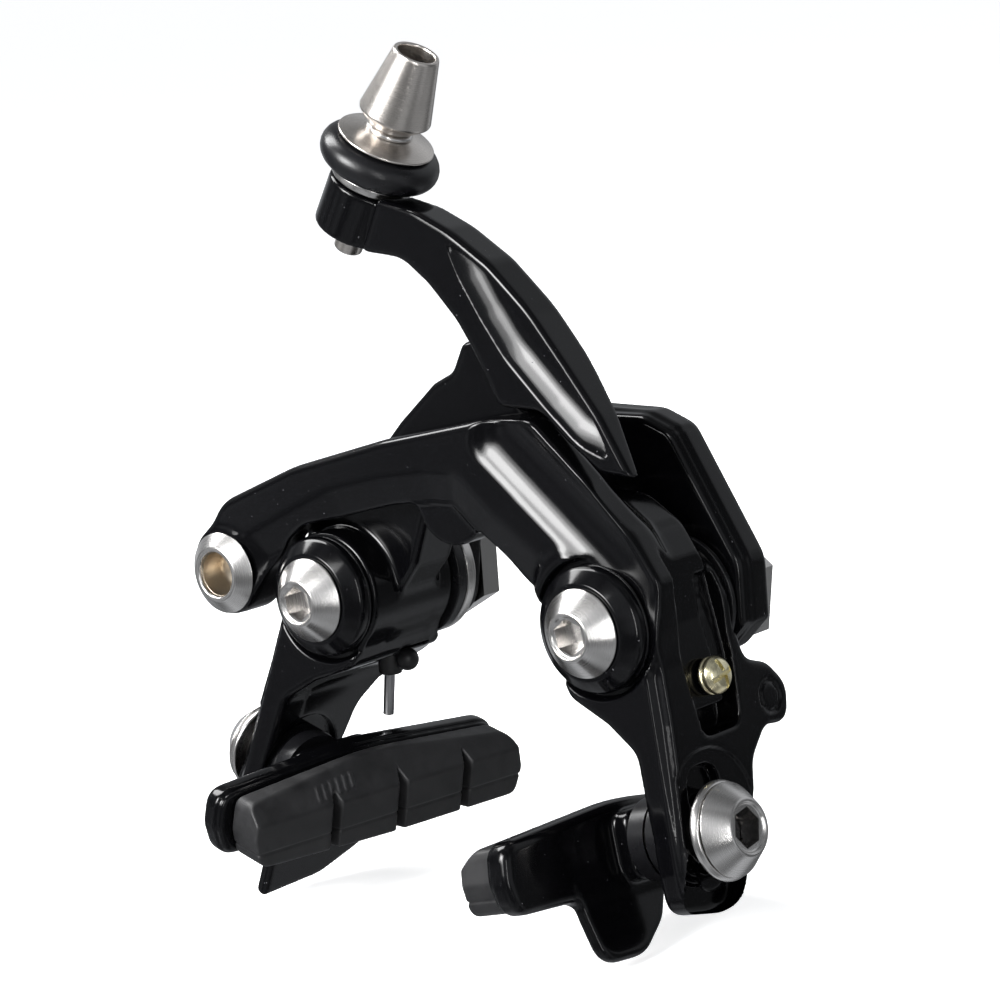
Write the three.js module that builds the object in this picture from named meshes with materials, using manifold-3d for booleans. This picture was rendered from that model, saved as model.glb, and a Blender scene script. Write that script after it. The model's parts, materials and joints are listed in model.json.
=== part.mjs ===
// A direct-mount rim brake caliper, in millimetres. +Z is up, +Y points at the frame, and +X is to the right
// of a viewer in front of the brake. The origin is on the mounting plane, midway between the two pivots.
// The pieces are drawn in a working group whose origin is where the pivot bolts' heads seat. The arms stand
// at their open stops, as their springs hold them with no cable fitted.
import * as THREE from "three";
import { mergeVertices } from "three/addons/utils/BufferGeometryUtils.js";
import Module from "manifold-3d";

const wasm = await Module();
wasm.setup();

// Driving dimensions
const ROUND = 28; // sides of a turned piece
const PIVOT_X = 28; // half of the 56 mm direct-mount spacing
const SEAT_TO_FRAME = 36; // from the pivot bolts' head seats back to the frame
const GAP = 0.3; // clearance left between neighbours
const HUB_FRONT = 4.6;
const HUB_REAR = 23.6;
const HUB_R = 10.2;
const BOLT_R = 2.95;
const AXLE_R = 5;
const BUSH_R = 6.2;
const SPRING_FRONT = 15.2; // where the spring pocket starts in a hub
const SPRING_POCKET_R = 7.6;
const SPRING_R = 6.4;
const WIRE_R = 0.85;
const PLATE_FRONT = 25.2;
const PLATE_STEP = 28.6;
const PLATE_REAR = 31.8;
const FLANGE_FRONT = 32.1;
const FLANGE_AF = 18;

const ARM_FRONT = 3.4; // front plane of the anchor arm
const ARM_REAR = 9.7;
const ANCHOR = [-50.3, 2.1];
const ANCHOR_R = 7;
const LINK = [-1, 17];
const LINK_ROLLER_R = 4.4;

const LIMB_FRONT = 5.8; // upper limb of the barrel arm
const LIMB_REAR = 12.8;
const BODY_FRONT = 10.2; // its lower body, behind the anchor arm
const BODY_REAR = 19.5;

const BARREL_FOOT = [-23.8, 11, 55.2];
const BARREL_LEAN = 30.5; // degrees from vertical, towards +X
const BARREL_LENGTH = 35.3;

const RIGHT_TILT = 13.6; // degrees that each leg is swung out at its open stop
const LEFT_TILT = 17.7;
const LEG_OUTER = 9.6; // outer face of a leg, from the pivot, in the leg's own upright frame
const LEG_INNER = 3.6;
const LEG_WEB = 3.2; // inner face of the side plate behind the front wall
const LEG_SEAT = 5; // floor of the round seat in it for the pad's washers
const SCREW_Y = 15.6; // centring screw, in the right leg's frame
const SCREW_Z = -11.3;
const PAD_DROP = 33.4; // pad bolt below the pivot
const PAD_BOLT_Y = 8;
const PAD_LENGTH = 56;
const PAD_HEIGHT = 13;
const PAD_FACE = -17.7; // braking face, in the leg's frame
const PAD_JOIN = -10.6; // where the insert meets the holder
const HOLDER_BACK = -5.7;
const HOLDER_BOSS = -2.7;
const INSERT_SCREW_Y = 21;
const LEFT_PAD_YAW = 11; // the left pad sits askew on its ball washers
const LEFT_PAD_ROLL = 8.3;
const PAD_PITCH = { left: 5, right: -4.5 };
const PAD_OFFSET = { left: 3.4, right: -1.8 }; // centre of a pad behind its bolt

// Materials
const finish = (color, roughness, metalness) =>
  new THREE.MeshStandardMaterial({ color, roughness, metalness });
const BLACK = finish(0x0b0b0d, 0.12, 0.3);
const SATIN_BLACK = finish(0x18181a, 0.45, 0.2);
const STEEL = finish(0xc9c6c2, 0.22, 1);
const NICKEL = finish(0xb4aaa0, 0.35, 1);
const WIRE = finish(0x8a8a8c, 0.4, 1);
const RUBBER = finish(0x1c1c1e, 0.7, 0);
const PAD_RUBBER = finish(0x2a2a2c, 0.8, 0);
const PLASTIC = finish(0x141415, 0.5, 0);
const ZINC = finish(0xcfc08a, 0.35, 1);
const BRONZE = finish(0x8c6a3c, 0.4, 1);

// Geometry helpers

/** A closed manifold-3d solid of a closed three.js geometry. */
function solid(geometry) {
  const bare = geometry.clone();
  bare.deleteAttribute("normal");
  bare.deleteAttribute("uv");
  const merged = mergeVertices(bare, 1e-4);
  const index = merged.index.array;
  const triangles = [];
  for (let i = 0; i < index.length; i += 3) {
    const [a, b, c] = [index[i], index[i + 1], index[i + 2]];
    if (a !== b && b !== c && a !== c) triangles.push(a, b, c);
  }
  return new wasm.Manifold(
    new wasm.Mesh({
      numProp: 3,
      vertProperties: merged.attributes.position.array,
      triVerts: new Uint32Array(triangles),
    }),
  );
}

/** A three.js geometry of a manifold-3d solid. */
function geometryOf(body) {
  const mesh = body.getMesh();
  const geometry = new THREE.BufferGeometry();
  geometry.setAttribute("position", new THREE.BufferAttribute(mesh.vertProperties, 3));
  geometry.setIndex(new THREE.BufferAttribute(mesh.triVerts, 1));
  const flat = geometry.toNonIndexed();
  flat.computeVertexNormals();
  return flat;
}

/** An outline through corners [x, z, radius], each corner rounded by its radius. */
function outline(corners) {
  const shape = new THREE.Shape();
  const count = corners.length;
  const point = (i) => new THREE.Vector2(...corners[(i + count) % count].slice(0, 2));
  for (let i = 0; i < count; i++) {
    const here = point(i);
    const back = point(i - 1).sub(here);
    const ahead = point(i + 1).sub(here);
    const radius = corners[i][2] ?? 0;
    const turn = Math.acos(
      THREE.MathUtils.clamp(back.dot(ahead) / back.length() / ahead.length(), -1, 1),
    );
    const wanted = radius / Math.tan(turn / 2);
    const reach = Math.min(wanted, 0.49 * back.length(), 0.49 * ahead.length());
    const from = here.clone().addScaledVector(back.normalize(), reach);
    const to = here.clone().addScaledVector(ahead.normalize(), reach);
    if (i === 0) shape.moveTo(from.x, from.y);
    else shape.lineTo(from.x, from.y);
    if (reach > 0.01) shape.quadraticCurveTo(here.x, here.y, to.x, to.y);
  }
  shape.closePath();
  return shape;
}

/** An XZ outline extruded along Y, with its edges chamfered inside the outline. */
function slab(corners, front, rear, chamfer = 0) {
  const options = { depth: rear - front - 2 * chamfer, curveSegments: 3, bevelEnabled: chamfer > 0 };
  Object.assign(options, { bevelSize: chamfer, bevelThickness: chamfer, bevelOffset: -chamfer });
  options.bevelSegments = 1;
  const geometry = new THREE.ExtrudeGeometry(outline(corners), options);
  geometry.rotateX(Math.PI / 2);
  geometry.translate(0, rear - chamfer, 0);
  return geometry;
}

/** A YZ outline extruded along X from one x to another. */
function panel(corners, low, high, chamfer = 0) {
  const options = { depth: high - low - 2 * chamfer, curveSegments: 3, bevelEnabled: chamfer > 0 };
  Object.assign(options, { bevelSize: chamfer, bevelThickness: chamfer, bevelOffset: -chamfer });
  options.bevelSegments = 1;
  const geometry = new THREE.ExtrudeGeometry(outline(corners), options);
  const turn = new THREE.Matrix4().makeBasis(
    new THREE.Vector3(0, 1, 0),
    new THREE.Vector3(0, 0, 1),
    new THREE.Vector3(1, 0, 0),
  );
  geometry.applyMatrix4(turn);
  geometry.translate(low + chamfer, 0, 0);
  return geometry;
}

/** A solid of revolution: profile [radius, station], stations measured along a direction from a point. */
function turned(profile, at, along, sides = ROUND) {
  const points = profile.map(([radius, station]) => new THREE.Vector2(radius, station));
  const geometry = new THREE.LatheGeometry(points, sides);
  const axis = new THREE.Vector3(...along).normalize();
  geometry.applyQuaternion(new THREE.Quaternion().setFromUnitVectors(new THREE.Vector3(0, 1, 0), axis));
  geometry.translate(...at);
  return geometry;
}

/** A round ring between two stations. */
const ring = (inner, outer, low, high, at, along, sides) =>
  turned([[inner, low], [outer, low], [outer, high], [inner, high], [inner, low]], at, along, sides);

/** A round rod between two stations. */
const rod = (radius, low, high, at, along, sides) =>
  turned([[0, low], [radius, low], [radius, high], [0, high]], at, along, sides);

/** A hexagonal rod along a direction, turned about it by an angle in degrees. */
function hexagon(acrossFlats, low, high, at, along, turn = 0) {
  const radius = acrossFlats / 2 / Math.cos(Math.PI / 6);
  const geometry = new THREE.CylinderGeometry(radius, radius, high - low, 6);
  geometry.rotateY(THREE.MathUtils.degToRad(turn));
  geometry.translate(0, (low + high) / 2, 0);
  const axis = new THREE.Vector3(...along).normalize();
  geometry.applyQuaternion(new THREE.Quaternion().setFromUnitVectors(new THREE.Vector3(0, 1, 0), axis));
  geometry.translate(...at);
  return geometry;
}

/** Adds up solids, then takes others away. */
function shaped(added, removed = []) {
  let body = added[0];
  for (const more of added.slice(1)) body = body.add(more);
  for (const less of removed) body = body.subtract(less);
  return body;
}

const caliper = new THREE.Group();
caliper.position.y = -SEAT_TO_FRAME;

/** Adds a named mesh to a group. */
function add(name, geometry, material, group = caliper) {
  const mesh = new THREE.Mesh(geometry, material);
  mesh.name = name;
  group.add(mesh);
}

const BACK = [0, 1, 0];
const SIDES = [
  { name: "left", sign: -1, tilt: LEFT_TILT, slotTop: -27.5 },
  { name: "right", sign: 1, tilt: RIGHT_TILT, slotTop: -23.2 },
];

/** The matrix from a leg's upright frame, mirrored for the left leg, to the working group. */
function legMatrix({ sign, tilt }) {
  return new THREE.Matrix4()
    .makeTranslation(sign * PIVOT_X, 0, 0)
    .multiply(new THREE.Matrix4().makeScale(sign, 1, 1))
    .multiply(new THREE.Matrix4().makeRotationY(-THREE.MathUtils.degToRad(tilt)));
}

/** A geometry placed by a matrix, with its faces turned back where the matrix mirrors it. */
function carried(geometry, matrix) {
  const made = geometry.clone().applyMatrix4(matrix);
  if (matrix.determinant() > 0) return made;
  const flat = made.index ? made.toNonIndexed() : made;
  const position = flat.attributes.position;
  for (let i = 0; i < position.count; i += 3) {
    const [a, b] = [i + 1, i + 2].map((k) => new THREE.Vector3().fromBufferAttribute(position, k));
    position.setXYZ(i + 1, b.x, b.y, b.z);
    position.setXYZ(i + 2, a.x, a.y, a.z);
  }
  flat.computeVertexNormals();
  return flat;
}

// Pivots, from the bolt heads at the front to the hexagonal flanges on the frame

/** The pivot bolt: conical head with a hexagon socket, and a shank that runs out behind the frame face. */
function pivotBolt(x) {
  const at = [x, 0, 0];
  const body = turned([[0, -2.9], [3.5, -2.9], [6.8, 0.2], [BOLT_R, 0.2], [BOLT_R, 41], [0, 41]], at, BACK);
  return geometryOf(solid(body).subtract(solid(hexagon(5, -4, 1.6, at, BACK))));
}

/** The axle: a sleeve on the bolt with a hexagonal flange that seats on the frame. */
function pivotAxle(x, turn) {
  const at = [x, 0, 0];
  const sleeve = solid(rod(AXLE_R, HUB_FRONT - 0.1, FLANGE_FRONT + 1, at, BACK));
  const flange = solid(hexagon(FLANGE_AF, FLANGE_FRONT, SEAT_TO_FRAME, at, BACK, turn));
  const bore = solid(rod(BOLT_R + 0.15, 0, SEAT_TO_FRAME + 1, at, BACK));
  return geometryOf(sleeve.add(flange).subtract(bore));
}

for (const { name, sign } of SIDES) {
  const at = [sign * PIVOT_X, 0, 0];
  const bore = BOLT_R + 0.15;
  add(`${name}_pivot_bolt`, pivotBolt(at[0]), STEEL);
  add(`${name}_pivot_axle`, pivotAxle(at[0], sign > 0 ? 8 : 0), STEEL);
  const cone = [[bore, 0.45], [7.3, 0.45], [9.8, 2.3], [9.8, 3.8], [bore, 3.8], [bore, 0.45]];
  add(`${name}_cone_washer`, turned(cone, at, BACK), BLACK);
  add(`${name}_dust_ring`, ring(bore, 9.7, 3.95, 4.4, at, BACK), SATIN_BLACK);
  add(`${name}_bush`, ring(AXLE_R + 0.05, BUSH_R, HUB_FRONT + 0.4, SPRING_FRONT - 0.4, at, BACK), BRONZE);
}
const LEFT_AT = [-PIVOT_X, 0, 0];
const RIGHT_AT = [PIVOT_X, 0, 0];
add("left_rear_seal", ring(AXLE_R + 0.15, 11, 24.1, 26.1, LEFT_AT, BACK), BLACK);
add("left_thrust_washer", ring(AXLE_R + 0.15, 11, 26.3, 28.3, LEFT_AT, BACK), STEEL);
add("right_rear_seal", ring(AXLE_R + 0.15, 10.6, 23.9, 24.9, RIGHT_AT, BACK), BLACK);

/** The arched plate that ties the two axles together behind the arms. */
function bridgePlate() {
  const arch = [
    [-37, 0, 9], [-36, 9, 6], [-16, 24, 12], [0, 29, 20], [22, 28.4, 6], [27.5, 26.2, 4],
    [39.2, 6.5, 6], [39.3, -3, 1], [34.5, -8, 4], [20, -9, 6], [16, 4, 6], [8, 16, 8],
    [-8, 16, 8], [-18, 6, 4], [-20, -9, 8], [-36, -9, 8],
  ];
  const thick = [
    [-13, 21, 3], [0, 28.2, 20], [22, 28.4, 6], [27.5, 26.2, 4], [39.2, 6.5, 6],
    [39.3, -3, 1], [34.5, -8, 4], [20, -9, 6], [16, 4, 6], [8, 16, 8], [-8, 16, 4],
  ];
  const plate = solid(slab(arch, PLATE_STEP - 0.5, PLATE_REAR));
  const front = solid(slab(thick, PLATE_FRONT, PLATE_REAR - 0.5, 0.8));
  const step = solid(ring(AXLE_R, 11.6, PLATE_FRONT, PLATE_STEP, LEFT_AT, BACK));
  const bores = [LEFT_AT, RIGHT_AT].map((at) => solid(rod(AXLE_R + 0.15, 20, 36, at, BACK)));
  return geometryOf(shaped([plate, front], [step, ...bores]));
}
add("bridge_plate", bridgePlate(), BLACK);

// Legs, drawn upright in a frame whose origin is the pivot and whose +X points away from the wheel

/** A leg: side plate with a slot for the pad bolt and an ear at the back, and a thick front wall. */
function leg(slotTop) {
  const side = [
    [HUB_FRONT, 6, 0], [HUB_FRONT, 1.6, 8], [-0.9, -37.4, 20], [-1.4, -43.4, 4.5], [8.5, -45.8, 12],
    [13.4, -45, 5], [19.4, -30.4, 8], [21, -25.5, 6], [26, -21.3, 4], [31.5, -22.2, 4],
    [33.5, -16.5, 4.2], [30, -12.3, 4.2], [24.8, -10.5, 3], [24.4, -3, 5], [20, 3, 3], [20, 6, 0],
  ];
  const wall = [
    [-6, 6, 0], [LEG_OUTER, 6, 0], [LEG_OUTER, -43, 0], [LEG_OUTER, -47, 0], [LEG_INNER + 0.6, -47, 0],
    [LEG_INNER, -30, 12], [3.2, -19.5, 4], [-1.5, -14.5, 6], [-9, -9, 4],
  ];
  const blank = solid(panel(side, -10, LEG_OUTER, 0));
  const profile = solid(slab(wall, -10, 50));
  const recess = solid(panel(
    [[10, -16, 3], [17, -14.8, 0], [25, -11, 0], [40, -11, 0], [40, -50, 0], [4.5, -50, 0], [5.6, -34, 0]],
    -12, LEG_WEB,
  ));
  const seat = solid(rod(8.2, -5, LEG_SEAT, [0, PAD_BOLT_Y + 0.6, -PAD_DROP + 0.5], [1, 0, 0]));
  const slotRecess = solid(panel(
    [[5, slotTop, 4], [12.6, slotTop, 4], [10.4, -42, 4], [2.8, -42, 4]], LEG_OUTER - 2.2, 15,
  ));
  const top = Math.min(slotTop - 0.6, -26.4);
  const slot = solid(panel([[5, top, 3.6], [12, top, 3.6], [10.6, -40.4, 3.6], [3.6, -40.4, 3.6]], -5, 15));
  const spotface = solid(rod(9.4, LEG_OUTER - 0.5, 15, [0, PAD_BOLT_Y + 1.4, -PAD_DROP + 3], [1, 0, 0]));
  const edge = chamferCut();
  return shaped([blank.intersect(profile)], [recess, seat, slotRecess, slot, spotface, edge]);
}

/** The slanting chamfer between a leg's front wall and its side plate. */
function chamferCut() {
  const cut = [[-12, 8, 0], [7.2, 8, 0], [4.2, -16, 0], [0.2, -38, 0], [-2, -48, 0], [-12, -48, 0]];
  const geometry = panel(cut, LEG_OUTER - 1.8, LEG_OUTER + 4);
  return solid(geometry);
}

// Arms

/** What is bored out of an arm at its pivot: the bush seat, the spring pocket and the spring leg's way out. */
function hubCuts(at) {
  const sign = Math.sign(at[0]);
  const wireSlot = new THREE.BoxGeometry(8.8, 6, 20);
  wireSlot.translate(at[0] - sign * 0.6, 18.4, -15.5);
  return [
    solid(rod(HUB_R + 0.6, -5, HUB_FRONT, at, BACK)),
    solid(rod(11.4, HUB_REAR, 40, at, BACK)),
    solid(rod(BUSH_R + 0.1, 3, SPRING_FRONT + 0.1, at, BACK)),
    solid(rod(SPRING_POCKET_R, SPRING_FRONT, 30, at, BACK)),
    solid(wireSlot),
  ];
}

/** A point of a leg's upright frame in the working group. */
const legPoint = (side, x, y, z) => new THREE.Vector3(x, y, z).applyMatrix4(legMatrix(side)).toArray();

/** The direction a leg's pad bolt points in, away from the wheel. */
const legAxis = (side) => new THREE.Vector3(1, 0, 0).transformDirection(legMatrix(side)).toArray();

const legSolid = (side) => solid(carried(geometryOf(leg(side.slotTop)), legMatrix(side)));

/** The right arm: a front beam out to the cable anchor, a shoulder over the pivot, a hub and a leg. */
function anchorArm() {
  const side = SIDES[1];
  const beam = [
    [-56.4, 5.6, 5], [-50.2, 13.9, 9], [-33.4, 20.7, 30], [-13.2, 26.2, 30], [7, 30.4, 12], [17.5, 30.9, 4],
    [27.2, 22.2, 12], [33.5, 14.5, 8], [38.3, 7, 3], [37.5, -4, 4], [28, -10, 6], [19, -4, 6],
    [18.6, 3.4, 3], [12, 8.1, 10], [6, 12.1, 4], [0.2, 17.1, 3], [-4, 17, 4], [-13.2, 15.6, 12],
    [-23.3, 13.1, 8], [-32, 11, 6], [-41, 3, 5], [-46, -4, 4], [-54, -4, 5],
  ];
  const shoulder = [
    [12, 12, 4], [17, 17, 4], [27, 13.8, 8], [36.4, 10.4, 2], [37.8, 0, 0], [28, -8, 0], [18, -4, 0],
  ];
  const anchorAt = [ANCHOR[0], 0, ANCHOR[1]];
  const linkAt = [LINK[0], 0, LINK[1]];
  const scoopAt = [5, ARM_FRONT - 7.6, 34.5];
  const pocket = panel(
    [[8.4, 6.5, 3], [21.8, 3, 2], [21.8, -9, 2], [19.9, -19.6, 2.5], [10.8, -19.6, 2.5]],
    LEG_OUTER - 0.7, 16,
  );
  const gap = panel([[18.3, 3, 0.5], [21.8, 3, 1], [21.8, -10, 0], [18.3, -10, 0]], LEG_OUTER - 1.2, 16);
  const opening = panel(
    [
      [18.3, -9.5, 0], [21.7, -9.5, 1], [19.9, -19.6, 2.5], [10.8, -19.6, 2.5], [10.9, -15.6, 0],
      [18.3, -15.6, 0],
    ],
    LEG_WEB + 2, 16,
  );
  const screwHole = rod(1.75, -4, 16, [0, SCREW_Y, SCREW_Z], [1, 0, 0], 16);
  const matrix = legMatrix(side);
  return shaped(
    [
      solid(slab(beam, ARM_FRONT, ARM_REAR, 0.9)),
      solid(rod(ANCHOR_R, ARM_FRONT, ARM_REAR + 0.5, anchorAt, BACK)),
      solid(rod(7, ARM_FRONT + 2, ARM_REAR, linkAt, BACK)),
      solid(slab(shoulder, ARM_REAR - 0.8, 19)),
      solid(rod(HUB_R, HUB_FRONT, HUB_REAR, RIGHT_AT, BACK)),
      legSolid(side),
    ],
    [
      solid(rod(HUB_R + 1.4, -5, 12, LEFT_AT, BACK)),
      solid(rod(9, 0, 40, scoopAt, [0.775, 0, -0.632])),
      solid(rod(4.9, 0, 12, anchorAt, BACK)),
      solid(rod(2.5, 5.5, 12, linkAt, BACK, 20)),
      solid(carried(pocket, matrix)),
      solid(carried(gap, matrix)),
      solid(carried(opening, matrix)),
      solid(carried(screwHole, matrix)),
      ...hubCuts(RIGHT_AT),
    ],
  );
}

/** The direction of the barrel's axis, from its foot up to the cable housing. */
const barrelLean = THREE.MathUtils.degToRad(BARREL_LEAN);
const BARREL_AXIS = [Math.sin(barrelLean), 0, Math.cos(barrelLean)];

/** The left arm: an upper limb that carries the barrel, a body behind the anchor arm, a hub and a leg. */
function barrelArm() {
  const limb = [
    [-16.4, 55.5, 1], [-8, 54.6, 8], [-2.7, 50.6, 12], [2.4, 45.2, 12], [5.2, 41, 4], [8, 36, 5],
    [9.6, 32.2, 3], [17.9, 31.9, 4], [22.8, 27.6, 4], [28.8, 23.2, 2], [34.8, 22.8, 0],
    [29.5, 31.7, 16], [23.4, 39.5, 30], [17.1, 47.4, 30], [9.7, 54.2, 14], [2.2, 59, 20], [-4.2, 61.9, 12],
    [-12, 63.9, 1],
  ];
  const body = [
    [7, 43, 4], [-0.8, 41, 2], [-3.2, 36.4, 3], [-7.4, 34.4, 2], [-15, 28, 10], [-20, 23, 6],
    [-31, 13, 10], [-38.2, 4, 6], [-36, -6, 6], [-28, -10, 6], [-21, -7.5, 5], [-18.5, -1, 4],
    [-14, 4.5, 4], [-11, 12, 6], [-7.5, LINK[1] + LINK_ROLLER_R + 0.4, 1],
    [6, LINK[1] + LINK_ROLLER_R + 0.4, 3], [13.5, 28, 5], [17, 33.6, 3], [12, 40, 5],
  ];
  const leaf = [
    [1.2, 58, 1], [9.3, 52.5, 14], [16, 46.1, 30], [22.2, 38.5, 30], [28.2, 30.7, 20], [31.2, 25, 1],
    [25.2, 27.4, 6], [19.6, 32.4, 8], [11.9, 39.8, 20], [7.6, 45.8, 20], [3.8, 51.9, 10],
  ];
  const matrixSide = SIDES[0];
  return shaped(
    [
      solid(slab(limb, LIMB_FRONT, LIMB_REAR, 0.6)),
      solid(slab(body, BODY_FRONT, BODY_REAR, 0.6)),
      solid(rod(6.6, 3.6, 12.3, BARREL_FOOT, BARREL_AXIS)),
      solid(rod(HUB_R, HUB_FRONT, HUB_REAR, LEFT_AT, BACK)),
      legSolid(matrixSide),
    ],
    [
      solid(slab(leaf, 0, LIMB_FRONT + 2.2)),
      solid(rod(7.4, 12.3, 18, BARREL_FOOT, BARREL_AXIS)),
      solid(rod(3.15, 0, 20, BARREL_FOOT, BARREL_AXIS, 24)),
      solid(panel([[14.6, 40, 0], [9.4, 20, 0], [20, 20, 0], [20, 40, 0]], 21, 40)),
      ...hubCuts(LEFT_AT),
    ],
  );
}
add("anchor_arm", geometryOf(anchorArm()), BLACK);
add("barrel_arm", geometryOf(barrelArm()), BLACK);

// Cable anchor

const ANCHOR_AT = [ANCHOR[0], 0, ANCHOR[1]];

/** The anchor sleeve: conical head with a deep round bore, and a sleeve through the arm. */
function anchorSleeve() {
  const tip = ARM_FRONT - 2.3;
  const seat = ARM_FRONT - GAP;
  const shell = turned(
    [
      [0, 7.2], [3.75, 5.2], [3.75, tip], [4.6, tip], [6.9, seat], [4.6, seat],
      [4.6, ARM_REAR + 0.3], [0, ARM_REAR + 0.3],
    ],
    ANCHOR_AT, BACK,
  );
  return geometryOf(solid(shell).subtract(solid(rod(2.35, 8, 12, ANCHOR_AT, BACK, 20))));
}
add("anchor_sleeve", anchorSleeve(), STEEL);
add("cable_clamp_washer", ring(2.5, 6.4, 11.9, 13.6, ANCHOR_AT, BACK), STEEL);
const clampBolt = solid(rod(2.2, 8.3, 14, ANCHOR_AT, BACK, 20)).add(
  solid(hexagon(8, 13.9, 17.4, ANCHOR_AT, BACK)),
);
add("cable_clamp_bolt", geometryOf(clampBolt), STEEL);

// Link between the arms

const LINK_AT = [LINK[0], 0, LINK[1]];
add("link_pin", rod(2.35, 5.8, 15.4, LINK_AT, BACK, 20), STEEL);
add("link_roller", ring(2.5, LINK_ROLLER_R, 10.3, 15, LINK_AT, BACK), STEEL);

// Barrel adjuster

/** A ring of round section around the barrel. */
function torus(mean, tube, station, at, along, sides = 12) {
  const profile = [];
  for (let i = 0; i <= sides; i++) {
    const turn = (2 * Math.PI * i) / sides;
    profile.push([mean + tube * Math.cos(turn), station + tube * Math.sin(turn)]);
  }
  return turned(profile, at, along);
}
const barrel = turned(
  [
    [1.3, 0], [2.3, 0], [2.3, 2.6], [2.9, 2.8], [2.9, 21.9], [3.2, 22.2], [5.85, 24.5],
    [3.7, BARREL_LENGTH], [3, BARREL_LENGTH], [3, 25], [1.3, 24], [1.3, 0],
  ],
  BARREL_FOOT, BARREL_AXIS,
);
add("barrel", barrel, NICKEL);
add("barrel_washer", ring(3.2, 6.6, 12.6, 14.1, BARREL_FOOT, BARREL_AXIS), STEEL);
const thumbNut = turned(
  [
    [3.1, 14.4], [3.9, 14.4], [3.9, 19.75], [7.5, 19.75], [7.9, 20.1], [3.8, 21.4], [3.1, 21.4],
    [3.1, 14.4],
  ],
  BARREL_FOOT, BARREL_AXIS,
);
add("thumb_nut", thumbNut, NICKEL);
add("grip_ring", torus(7.1, 2.6, 16.9, BARREL_FOOT, BARREL_AXIS), RUBBER);

// Return springs and their guides

/** A torsion spring round a hub, with a leg that runs down to an end point. */
function returnSpring(at, sign, foot) {
  const turns = 2.25;
  const steps = 38;
  const points = [];
  for (let i = 0; i <= steps; i++) {
    const angle = -Math.PI / 2 - (sign * turns * 2 * Math.PI * (steps - i)) / steps;
    const along = 22.3 - (3.9 * i) / steps;
    points.push(new THREE.Vector3(
      at[0] + SPRING_R * Math.cos(angle), along, SPRING_R * Math.sin(angle),
    ));
  }
  points.push(new THREE.Vector3(at[0] - sign * 1.1, 18.4, -8.6));
  points.push(new THREE.Vector3(at[0] - sign * 1.3, 18.4, -10.6));
  points.push(new THREE.Vector3(...foot));
  const section = new THREE.Shape().absarc(0, 0, WIRE_R, 0, 2 * Math.PI);
  return new THREE.ExtrudeGeometry(section, {
    steps: 60, curveSegments: 4, extrudePath: new THREE.CatmullRomCurve3(points),
  });
}
add("left_return_spring", returnSpring(LEFT_AT, 1, [-29.9, 18.4, -23.5]), WIRE);
add("right_return_spring", returnSpring(RIGHT_AT, -1, [29.6, 18.4, -15.5]), WIRE);

/** The plastic guide that a spring's leg leaves by: a sleeve round the wire and a lobe beside it. */
function springGuide(at, sign) {
  const x = at[0] - sign * 1.5;
  const sleeve = solid(rod(2, -1.9, 1.9, [x, 18.4, -14.4], [0, 0, 1], 16));
  const lobe = solid(new THREE.SphereGeometry(1.9, 12, 8).translate(x + sign * 3.5, 18.9, -13.6));
  const bar = solid(new THREE.BoxGeometry(3.4, 1.8, 1.8).translate(x + sign * 2, 18.8, -13.8));
  const bore = solid(rod(1.25, -6, 6, [x, 18.4, -14.4], [0.03 * sign, 0, 1], 12));
  return geometryOf(shaped([sleeve, lobe, bar], [bore]));
}
add("left_spring_guide", springGuide(LEFT_AT, 1), PLASTIC);
add("right_spring_guide", springGuide(RIGHT_AT, -1), PLASTIC);

// Centring screw, through the tongue of the anchor arm's leg

function centringScrew() {
  const side = SIDES[1];
  const at = legPoint(side, 0, SCREW_Y, SCREW_Z);
  const along = legAxis(side);
  const head = turned(
    [[0, 3], [1.5, 3], [1.5, 9.3], [2.95, 9.3], [2.95, 11], [2.2, 12.2], [0, 12.6]], at, along, 20,
  );
  const slot = new THREE.BoxGeometry(3, 8, 0.8).translate(12.9, SCREW_Y, SCREW_Z);
  return geometryOf(solid(head).subtract(solid(carried(slot, legMatrix(side)))));
}
add("centring_screw", centringScrew(), ZINC);

// Pads, in each leg's frame

const BALL_CENTRE = 7.3; // in the middle of a leg's side plate
const BALL_R = 9;
const ballAt = (radius, ball) => BALL_CENTRE - Math.sqrt(ball * ball - radius * radius);

/** The matrix from a frame on a pad bolt's axis to the working group, with part of the left pad's lean. */
function padMatrix(side, lean) {
  const askew = side.sign < 0 ? lean : 0;
  const toRadians = THREE.MathUtils.degToRad;
  return legMatrix(side)
    .multiply(new THREE.Matrix4().makeTranslation(BALL_CENTRE, PAD_BOLT_Y, -PAD_DROP))
    .multiply(new THREE.Matrix4().makeRotationZ(toRadians(askew * LEFT_PAD_YAW)))
    .multiply(new THREE.Matrix4().makeRotationY(toRadians(askew * LEFT_PAD_ROLL)))
    .multiply(new THREE.Matrix4().makeRotationX(toRadians(lean * PAD_PITCH[side.name])))
    .multiply(new THREE.Matrix4().makeTranslation(-BALL_CENTRE, 0, 0));
}

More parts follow.
